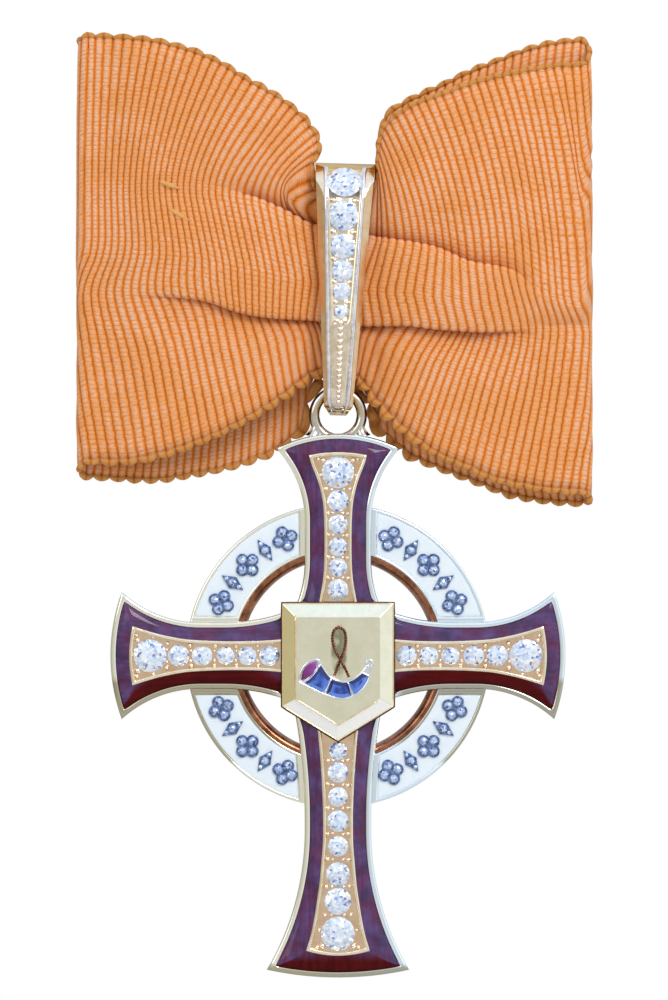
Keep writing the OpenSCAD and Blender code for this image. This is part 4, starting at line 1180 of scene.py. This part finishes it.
def joined(parts):
    """Several sets of points and faces as one."""
    points, faces = [], []
    for some_points, some_faces in parts:
        start = len(points)
        points.extend(some_points)
        faces.extend(tuple(i + start for i in face) for face in some_faces)
    return points, faces


# Inset and height of each row of the two sections, then how far across the enamel each of its rows lies
RIM = [(-0.06, -1.2), (-0.10, 0.2), (-0.10, 0.72), (-0.02, 0.88), (0.12, 0.97), (0.3, 0.98), (0.46, 0.93),
       (0.56, 0.82), (0.58, 0.55)]
CREST = [(-0.12, 1.30), (-0.10, 1.52), (-0.02, 1.62), (0.1, 1.66), (0.2, 1.64), (0.27, 1.54), (0.29, 0.98)]
ENAMEL_SHARES = [0, 0.01, 0.1, 0.25, 0.4, 0.55, 0.7, 0.85, 0.97, 1.0]
ENAMEL_FOOT, ENAMEL_EDGE, ENAMEL_RISE = 0.6, 0.80, 0.75
for name, arm in ARMS.items():
    turn = arm["turn"]
    rim = strips([on_cross(arm_outline(arm, inset), z, turn) for inset, z in RIM])
    piece(f"rim_{name}", *rim, rim_gold, "badge", "frame_gold")
    crest = strips([on_cross(plate_outline(name, inset), z, turn) for inset, z in CREST])
    piece(f"crest_{name}", *crest, crest_gold, "badge", "frame_gold")
    outer_line, inner_line = arm_outline(arm, 0.54), plate_outline(name, -0.04)
    border = []
    for share in ENAMEL_SHARES:
        height = ENAMEL_EDGE + ENAMEL_RISE * share ** 0.65 if share else ENAMEL_FOOT
        border.append(on_cross(mix(outer_line, inner_line, share), height, turn))
    piece(f"border_{name}", *strips(border), dark_enamel, "badge", "dark_enamel", [f"enamel_{name}"])
print("arm strips:", 3 * len(ARMS))

# %% [markdown]
# ## Beads that hold the stones
# In a bead setting the jeweller raises small curls of the plate's own gold with a graver, pushes them over
# the edge of each stone and rounds them into beads. They sit in pairs between neighbouring stones. Every
# bead is a little different, so a seeded random draw varies their size and place.

# %% Make the beads as one mesh
# Distance of each stone from the centre of the cross, and its diameter
STONES = {
    "top": [(20.4, 3.6), (17.2, 2.4), (14.6, 2.2), (12.1, 2.1), (9.8, 2.1), (7.3, 2.4)],
    "right": [(7.6, 2.3), (10.1, 2.1), (12.5, 2), (15.1, 2.3), (17.7, 2.4), (20.9, 3.7)],
    "bottom": [(10.6, 2), (13, 2.3), (15.7, 2.2), (18.4, 2.4), (21.2, 2.3), (24.3, 2.7), (27.3, 3),
               (30.9, 3.8)],
}
STONES["left"] = STONES["right"]
PLATE_Z = 1.0
BEAD_LIFT, BEAD_SINK, BEAD_TALL = 0.1, -0.05, 1.1
BEAD_SIDES, BEAD_LEVELS = 10, 4
# For the beads between two stones: share of the spread, room to move, and least and largest radius
PAIR_BEADS = ((1, 0.1, 0.25, 0.31), (0.5, 0.06, 0.17, 0.22))
# For the beads round the largest stone: shares of its diameter ahead and beside, room beside, and radius
END_BEADS = ((0.36, 0.36, 0.36, 0.33), (0.40, 0.36, 0.9, 0.24), (-0.1, 0.5, 0.18, 0.22))
hand = random.Random(7)
bead_spots = []
for name in ARMS:
    row = sorted(STONES[name])
    for (near, near_wide), (far, far_wide) in zip(row, row[1:]):
        middle = (near + near_wide / 2 + far - far_wide / 2) / 2
        spread = 0.30 * (near_wide + far_wide) / 2 + 0.42
        for side in (-1, 1):
            for off, jitter, small, large in PAIR_BEADS:
                at = middle + hand.uniform(-jitter, jitter)
                bead_spots.append((name, at, side * spread * off, hand.uniform(small, large)))
    at, wide = row[-1]
    for side in (-1, 1):
        for ahead, beside, clear, r in END_BEADS:
            bead_spots.append((name, at + ahead * wide, side * (beside * wide + clear), r))

around = np.radians(np.linspace(0, 360, BEAD_SIDES, endpoint=False))
levels = [math.pi / 2 * level / BEAD_LEVELS for level in range(BEAD_LEVELS)]
rounds = [(math.cos(tilt), math.sin(tilt)) for tilt in levels]
APEX = BEAD_LEVELS * BEAD_SIDES
bead_faces = []
for k, m in steps(BEAD_SIDES, True):
    bead_faces.append((APEX + 1 + k, APEX + 1 + m, m, k))
    for low in range(0, APEX - BEAD_SIDES, BEAD_SIDES):
        bead_faces.append((low + k, low + m, low + BEAD_SIDES + m, low + BEAD_SIDES + k))
    bead_faces.append((APEX - BEAD_SIDES + k, APEX - BEAD_SIDES + m, APEX))
beads = []
for name, d, off, r in bead_spots:
    flat = [polar(r * wide, around) for wide, _ in rounds] + [[(0, 0)], polar(1.1 * r, around)]
    tall = [np.full(BEAD_SIDES, BEAD_LIFT + BEAD_TALL * r * up) for _, up in rounds]
    tall += [[BEAD_LIFT + BEAD_TALL * r], np.full(BEAD_SIDES, BEAD_SINK)]
    spots = np.concatenate(flat) + (d, off)
    beads.append((on_cross(spots, PLATE_Z + np.concatenate(tall), ARMS[name]["turn"]), bead_faces))
piece("setting_beads", *joined(beads), bead_gold, "badge", "frame_gold")
print("beads:", len(bead_spots))

# %% [markdown]
# ## The ring between the arms
# The ring's four quarters hold white enamel that was ground flat and polished, with a soft edge where it
# meets the metal. A narrow rolled rim runs round the outside and a broader one round the inside. The wire
# ring that the bail hangs in is paler than the cross, as silver-rich solder and wear leave it.

# %% Turn sections round the ring, as pairs of radius and height
RING_SECTIONS = {
    "ring_outer_rim": (rim_gold, [
        (16.80, -1.2), (16.88, -0.4), (16.88, 0.46), (16.82, 0.60), (16.68, 0.66), (16.54, 0.62),
        (16.46, 0.5), (16.46, 0.3),
    ]),
    "ring_inner_rim": (rim_gold, [
        (11.68, 0.30), (11.70, 0.56), (11.78, 0.63), (11.88, 0.65), (11.96, 0.62), (12.02, 0.54),
        (12.04, 0.3),
    ]),
    "ring_inner_wall": (wall_gold, [
        (11.72, 0.50), (11.5, 0.58), (11.3, 0.54), (11.05, 0.34), (10.84, 0.02), (10.72, -0.5),
        (10.7, -1.25),
    ]),
}
round_ring = np.radians(np.linspace(0, 360, 181))
for name, (finish, section) in RING_SECTIONS.items():
    rows = [on_cross(polar(r, round_ring), z) for r, z in section]
    piece(name, *strips(rows), finish, "badge", "frame_gold")

# %% Lay the white quarters and close their ends with bars
ENAMEL_IN, ENAMEL_OUT, ENAMEL_Z = 12.0, 16.5, 0.54
ENAMEL_GAP = 0.6
# Half the arm's width where the ring crosses it
CROSSING = 4
QUARTER_ARMS = [("right", "top"), ("top", "left"), ("left", "bottom"), ("bottom", "right")]


def beside_arm(name, r, past):
    """The angle between an arm's middle line and a line that runs beside its edge, at a radius."""
    half_width = float(arm_half_width(ARMS[name], np.array(math.sqrt(r * r - CROSSING ** 2)))) + past
    return math.asin(half_width / r)


section = [(ENAMEL_IN - 0.02, -0.3), (ENAMEL_IN, -0.04), (ENAMEL_IN + 0.08, 0.0)]
section += [(r, 0.0) for r in np.linspace(ENAMEL_IN + 0.3, ENAMEL_OUT - 0.3, 7)]
section += [(ENAMEL_OUT - 0.08, 0.0), (ENAMEL_OUT, -0.04), (ENAMEL_OUT + 0.02, -0.3)]
for k, (first, second) in enumerate(QUARTER_ARMS):
    rows = []
    for r, drop in section:
        start = 90 * k + math.degrees(beside_arm(first, r, ENAMEL_GAP))
        stop = 90 * (k + 1) - math.degrees(beside_arm(second, r, ENAMEL_GAP))
        angles = np.concatenate([[start], np.linspace(start + 0.25, stop - 0.25, 38), [stop]])
        from_end = np.radians(np.minimum(angles - start, stop - angles)) * r
        z = ENAMEL_Z + drop - 0.05 * np.exp(-from_end / 0.12)
        z[[0, -1]] = min(ENAMEL_Z + drop, 0.2)
        rows.append(on_cross(polar(r, np.radians(angles)), z))
    quarter = f"white_quarter_{k + 1}"
    piece(quarter, *strips(rows), white_enamel, "badge", "white_enamel", [f"ring_enamel_{k + 1}"])

# Distance past the arm's edge, and height
BAR_SECTION = ((-0.1, 0.3), (0.0, 0.62), (0.14, 0.7), (0.56, 0.7), (0.7, 0.64), (0.76, 0.45))
bars = []
for k, names in enumerate(QUARTER_ARMS):
    for name, begin, side in ((names[0], 90 * k, 1), (names[1], 90 * k + 90, -1)):
        rows = []
        for past, z in BAR_SECTION:
            line = []
            for r in np.linspace(11.8, 16.7, 9):
                angle = math.radians(begin) + side * beside_arm(name, r, past)
                line.append((r * math.cos(angle), r * math.sin(angle)))
            rows.append(on_cross(np.array(line), z))
        bars.append(strips(rows))
piece("ring_end_bars", *joined(bars), rim_gold, "badge", "frame_gold")


# %% A tube along a path
# No path here starts along this direction, so that it can turn the first circle of a tube
ASIDE = (0.3, -0.9, 0.31)


def tube(path, radius, sides=12, closed=False):
    """Points and faces of a tube. radius is one number or one for each point of the path."""
    path = np.asarray(path, float)
    way = unit(np.roll(path, -1, 0) - np.roll(path, 1, 0) if closed else np.gradient(path, axis=0))
    normal = np.cross(way[0], ASIDE)
    circle = polar(1, np.linspace(0, 2 * math.pi, sides, endpoint=False))
    rows = []
    for p, w, r in zip(path, way, np.broadcast_to(radius, len(path))):
        normal = unit(normal - w * np.dot(normal, w))
        rows.append(p + r * (circle @ np.stack([normal, np.cross(w, normal)])))
    if closed:
        rows.append(rows[0])
    points, faces = strips(rows, True)
    if not closed:
        faces.append(tuple(range(sides))[::-1])
        faces.append(tuple(range(len(points) - sides, len(points))))
    return points, faces


def through(points, at):
    """A smooth curve through points (Catmull-Rom), read at a place between them."""
    points = np.asarray(points, float)
    at = np.clip(np.asarray(at, float), 0, len(points) - 1.0001)
    k = at.astype(int)
    t = (at - k)[:, None]
    a, b = points[np.maximum(k - 1, 0)], points[k]
    c, d = points[k + 1], points[np.minimum(k + 2, len(points) - 1)]
    square, cube = 2 * a - 5 * b + 4 * c - d, 3 * b - a - 3 * c + d
    return 0.5 * (2 * b + (c - a) * t + square * t ** 2 + cube * t ** 3)


def left_of(line):
    """The direction to the left of a flat line, at each of its points."""
    way = unit(np.gradient(line, axis=0))
    return np.stack([-way[:, 1], way[:, 0]], 1)


# %% Hang the wire ring on its two feet
HANG_R, HANG_WIRE, HANG_AT = 2.65, 0.58, (0, 26.75)
FOOT = [(2.56, 26.5), (2.42, 25.7), (2.52, 25.0), (2.78, 24.25)]
circle = np.linspace(0, 2 * math.pi, 72, endpoint=False)
hoop = on_cross(HANG_AT + polar(HANG_R, circle), 0)
piece("hanging_ring", *tube(hoop, HANG_WIRE, 16, True), link_silver, "badge", "frame_gold")
foot_r = np.interp(np.arange(14), [0, 5, 9, 13], [0.5, 0.52, 0.6, 0.92])
feet = [
    tube(on_cross(through(FOOT, np.linspace(0, 2.999, 14)) * [side, 1], 0), foot_r, 14) for side in (-1, 1)
]
piece("hanging_ring_feet", *joined(feet), link_silver, "badge", "frame_gold")

# %% [markdown]
# ## The bail's bright edges
# The bail's face lies a little below two polished edges, which run down both sides and over the arch at the
# top, where each ends in a small point.

# %% Run the two edges down the bail
LEAN = math.radians(1.6)
AXIS_DROP = 15.7
BAIL_FRONT = -10.4
FOOT_CURL, CURL_R = -14.9, 3.5
ARCH_Z, ARCH_R = 4.7, 5.0
BAIL_FOOT = -16.9
# Half the bail's width at its lower end and at its top, then how far the edges lie from its middle
HALF_LOW, HALF_TOP = 1.6, 3.4
LOW_END, BAIL_HEIGHT = -17.4, 28.1
EDGE_FOOT, EDGE_LOW, EDGE_TOP = 0.66, 1.08, 2.19
FOOT_RUN, EDGE_RUN = 1.3, 26.2


def leaning(points):
    """The bail leans a little to one side, about the axis that the badge swings on."""
    x, y, z = np.asarray(points, float).T
    z = z + AXIS_DROP
    aside = 0.1 + x * math.cos(LEAN) + z * math.sin(LEAN)
    return np.stack([aside, y, z * math.cos(LEAN) - x * math.sin(LEAN) - AXIS_DROP], 1)


def bail_half_width(z):
    return mix(HALF_LOW, HALF_TOP, (z - LOW_END) / BAIL_HEIGHT)


def bail_front(z):
    """How far the bail's front lies at a height: straight, then curling back round its foot."""
    return BAIL_FRONT + CURL_R - math.sqrt(CURL_R ** 2 - max(0.0, FOOT_CURL - z) ** 2)


def rim_at(z):
    """How far each bright edge lies from the middle of the bail."""
    if z < BAIL_FOOT:
        return mix(EDGE_LOW, EDGE_FOOT, (BAIL_FOOT - z) / FOOT_RUN)
    return mix(EDGE_LOW, EDGE_TOP, (z - BAIL_FOOT) / EDGE_RUN)


edges = []
for side in (-1, 1):
    path = [(side * rim_at(z), bail_front(z) - 0.1, z) for z in np.linspace(-18.15, ARCH_Z, 46)]
    for degrees in np.linspace(4, 66, 16):
        tilt = math.radians(degrees)
        z = ARCH_Z + ARCH_R * math.sin(tilt)
        flare = 0.2 * max(0.0, (degrees - 40) / 26) ** 2
        path.append((side * (rim_at(z) + flare), BAIL_FRONT - 0.07 + ARCH_R * (1 - math.cos(tilt)), z))
    sizes = np.full(len(path), 0.21)
    sizes[-2:] = (0.18, 0.06)
    sizes[:3] = (0.1, 0.16, 0.2)
    edges.append(tube(leaning(path), sizes, 10))
piece("bail_edges", *joined(edges), bright_silver, "bow", "bail_gold")


# %% Lay the pale face between the edges
def face_line(half_width, channel_half, front, channel, behind):
    """One line across the face: raised edges, and between them the channel that the stones lie in."""
    half = [(half_width, behind), (half_width, front), (channel_half, front), (channel_half - 0.1, channel)]
    return [(-x, y) for x, y in half] + half[::-1]


# Radii of the arch's face, of its channel and of its back
FACE_R, CHANNEL_R, BEHIND_R = 5.03, 4.79, 4.5
# How far the face reaches under the edges, and how far in from the bail's side the channel begins
RIM_SHARE, CHANNEL_IN = 0.06, 1.37
face_rows = []
for z in np.linspace(-18.2, ARCH_Z, 70):
    front = bail_front(z) - 0.03
    channel = front + np.interp(z, [-8.2, -7.9], [0.0, 0.24])
    channel_half = max(bail_half_width(z) - CHANNEL_IN, 0.3)
    line = face_line(rim_at(z) + RIM_SHARE, channel_half, front, channel, front + 1.0)
    face_rows.append(leaning([(x, y, z) for x, y in line]))
for tilt in np.radians(np.linspace(5, 64, 13)):
    cosine, sine = math.cos(tilt), math.sin(tilt)
    half_width = rim_at(ARCH_Z + FACE_R * sine) + RIM_SHARE
    channel_half = bail_half_width(ARCH_Z + ARCH_R * sine) - CHANNEL_IN
    line = face_line(half_width, channel_half, FACE_R, CHANNEL_R, BEHIND_R)
    face_rows.append(leaning([(x, BAIL_FRONT + ARCH_R - r * cosine, ARCH_Z + r * sine) for x, r in line]))
piece("bail_face", *strips(face_rows), face_gold, "bow", "bail_gold")


# %% Set the row of beads below the stones
def ball(centre, r, around=12, rings=8):
    """A small ball about a place on the bail that leans with it."""
    angles = np.linspace(0, 2 * math.pi, around, endpoint=False)
    rows = []
    for k in range(rings + 1):
        up, size = r * math.cos(math.pi * k / rings), max(r * math.sin(math.pi * k / rings), 0.002)
        offsets = np.stack([size * np.cos(angles), np.full(around, up), size * np.sin(angles)], 1)
        rows.append(leaning([centre]) + offsets)
    return strips(rows, True)


BEADS = 15
BEADS_TOP = -8.15
BEAD_LARGE, BEAD_SMALL = 0.37, 0.28
bead_row = []
for k in range(BEADS):
    t = k / (BEADS - 1)
    z = mix(BEADS_TOP, BAIL_FOOT, t * (1.15 - 0.15 * t))
    bead_row.append(ball((0, bail_front(z) - 0.06, z), mix(BEAD_LARGE, BEAD_SMALL, t)))
piece("bail_bead_row", *joined(bead_row), bead_gold, "bow", "bail_gold")
# Height of each stone and its diameter
BAIL_STONES = [(7.4, 3.9), (3.7, 3.3), (0.3, 2.8), (-2.4, 2.4), (-4.7, 1.9), (-6.9, 1.5)]
PRONG_FRONT = -10.2
prongs = []
for (upper, upper_wide), (lower, lower_wide) in zip(BAIL_STONES, BAIL_STONES[1:]):
    z = (upper - upper_wide / 2 + lower + lower_wide / 2) / 2
    depth = PRONG_FRONT + ARCH_R - math.sqrt(ARCH_R ** 2 - max(0.0, z - ARCH_Z) ** 2)
    spread = min(0.28 * (upper_wide + lower_wide) / 2 + 0.12, bail_half_width(z) - 1.5)
    prongs += [ball((side * spread, depth, z), 0.26 + 0.03 * (upper_wide - 1.9)) for side in (-1, 1)]
piece("bail_prongs", *joined(prongs), bead_gold, "bow", "bail_gold")

# %% [markdown]
# ## The horn
# The little horn is a row of silver cells. Thin walls stand up round each stone, so close together that the
# blue stones look like one curved body with two bright bars across it. The walls are fine wires here, and
# each sapphire follows the curve of its cell, with a sloping edge and a flat table. The cord loops twice
# round itself and is a twisted pair of wires.

# %% Draw the horn's line and its wires
# Place and half-width along the horn, from its mouth to its tip
HORN = [(-3.3, -1.62, 1.75), (-2.15, -2.65, 1.3), (-1.1, -3.35, 1.06), (0.5, -3.8, 1.0), (1.85, -3.4, 0.88),
        (2.8, -2.5, 0.68), (3.3, -1.55, 0.4), (3.45, -1.05, 0.3)]
HORN_TOP = 3.2
CELL_WALLS = (0.42, 2.0, 3.62, 5.45)
MOUTH_AT, MOUTH_TURN = (-3.2, -1.62), 51
TIP_AT, TIP_R = (3.5, -0.8), 0.33


def horn_edge(at, side, inset):
    line = through(HORN, at)
    return line[:, :2] + side * left_of(line[:, :2]) * (line[:, 2:] - inset)


def wire(line, r, closed=False, z=HORN_TOP):
    return tube(on_cross(line, z), r, 8, closed)


wires = [wire(horn_edge(np.linspace(0.02, 6.9, 60), side, 0.09), 0.12) for side in (-1, 1)]
for at in CELL_WALLS:
    near = np.array([at - 0.01, at, at + 0.01])
    wires.append(wire(np.linspace(horn_edge(near, -1, 0.1)[1], horn_edge(near, 1, 0.1)[1], 6), 0.105))
t = 2 * math.pi * np.arange(40) / 40
pointed = np.stack([1.5 * np.cos(t), 0.72 * np.copysign(np.abs(np.sin(t)) ** 1.25, np.sin(t))], 1)
wires.append(wire(MOUTH_AT + turned(pointed, MOUTH_TURN), 0.11, True))
wires.append(wire(TIP_AT + polar(TIP_R, circle), 0.14, True, HORN_TOP - 0.02))
piece("horn_wires", *joined(wires), bright_silver, "badge", "bright_silver")

# %% Cut the sapphires and twist the cord
SAPPHIRES = [(0.5, 1.92), (2.08, 3.54), (3.7, 5.36)]
CUT = ((0.0, 2.95), (0.0, 3.22), (0.05, 3.28), (0.4, 3.5))
for k, (begin, end) in enumerate(SAPPHIRES):
    rows = []
    for shrink, z in CUT:
        at = np.linspace(begin + shrink * 0.5, end - shrink * 0.5, 9)
        low_line, high_line = horn_edge(at, -1, 0.18 + shrink), horn_edge(at, 1, 0.18 + shrink)
        rows.append(on_cross(np.concatenate([low_line, high_line[::-1]]), z))
    points, faces = strips(rows, True)
    last = len(points) - 18
    faces += [(last + j, last + j + 1, last + 16 - j, last + 17 - j) for j in range(8)]
    stands_for = [f"horn_sapphire_{k + 1}"]
    piece(f"sapphire_{k + 1}", points, faces, sapphire, "badge", "sapphire", stands_for).data.shade_flat()

LOOP = [
    [(-0.38, -2.15), (-0.1, -1.4), (0.27, -0.45), (0.7, 0.6), (0.88, 1.8), (0.68, 2.8), (0.1, 3.2)],
    [(1.2, -2.3), (0.8, -1.4), (0.27, -0.45), (-0.3, 0.6), (-0.62, 1.8), (-0.45, 2.8), (0.1, 3.2)],
]
# Length of one twist, radius of a strand and height of the cord, then how far a strand turns aside and up,
# and how far one half of the loop rises over the other where they cross
TWIST, STRAND_R, CORD_Z = 0.62, 0.1, 2.86
TURN_ASIDE, TURN_UP, RISE = 0.085, 0.075, 0.16
cords = []
for number, knots in enumerate(LOOP):
    line = through(knots, np.linspace(0, 5.999, 90))
    run = np.append(0, np.cumsum(np.hypot(*np.diff(line, axis=0).T)))
    crossing = np.exp(-((line[:, 1] + 0.45) / 0.5) ** 2)
    for phase in (0, math.pi):
        twist = 2 * math.pi * run / TWIST + phase
        flat = line + left_of(line) * (TURN_ASIDE * np.cos(twist))[:, None]
        z = CORD_Z + TURN_UP * np.sin(twist) + number * RISE * crossing
        cords.append(tube(on_cross(flat, z), STRAND_R, 7))
piece("horn_cord", *joined(cords), copper_gold, "badge", "copper_gold", ["horn_loop"])

# %% [markdown]
# ## The shield's outline
# The shield is a separate plate that was filed to shape. Its outer edge and the foot of its bevels get fine
# wires of warmer gold as painted highlight lines, and a dark wire below the edge is a painted shadow.

# %% Run fine wires round the shield's edge and along its bevels
OUTER = [(-6.15, 5.8), (6.15, 5.8), (6.15, -5.6), (0, -9.4), (-6.15, -5.6)]
INNER = [(-4.72, -4.78), (0, -7.68), (4.72, -4.78)]
LEFT = [(-4.74, 4.5), (-4.74, -4.78)]


def along_sides(corners, closed):
    """Even steps along each side of an outline."""
    shares = np.linspace(0, 1, 12, endpoint=False)[:, None]
    places = np.array(corners, float)
    return np.concatenate([mix(places[a], places[b], shares) for a, b in steps(len(places), closed)])


# Painted highlights: fine bright wires of warmer gold along the shield's edges
shield_lines = [
    wire(along_sides(corners, closed), 0.075, closed, z)
    for corners, z, closed in ((OUTER, 1.9, True), (INNER, 2.71, False), (LEFT, 2.69, False))
]
piece("shield_lines", *joined(shield_lines), glint_gold, "badge", "shield_gold")
# Painted shadow: a dark wire just outside the shield's edge
shadow = wire(1.012 * along_sides(OUTER, True), 0.13, True, 1.62)
piece("shield_shadow", *shadow, shadow_paint, "badge", "shield_gold")

# %% [markdown]
# ## Wear on the silk
# Two pulled threads on the left wing lie across the cords, where the medal was once caught.

# %% Lay the pulled threads on the cloth
# Ends of each thread on the plan: x and z of one, x and z of the other
SNAGS = ((160, 182, 179, 189), (169, 209, 189, 221))
t = np.linspace(0, 1, 10)
threads = []
for x0, z0, x1, z1 in SNAGS:
    xs, zs = plan_x(np.linspace(x0, x1, 10)), plan_z(np.linspace(z0, z1, 10))
    y = -(front_depth(xs) + 0.06 + HALF_CLOTH + 0.04 * np.sin(math.pi * t))
    threads.append(tube(np.stack([xs, y, zs], 1), 0.1 + 0.2 * np.sin(math.pi * np.clip(t, 0.05, 0.95)), 7))
piece("pulled_threads", *joined(threads), loose_silk, "bow", "silk")

# %% [markdown]
# ## Finish
# The box of everything is printed in mm.

# %% Print the size of everything
low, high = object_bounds()
print("visual box in mm:", [round(c / MM, 1) for c in (*low, *high)])
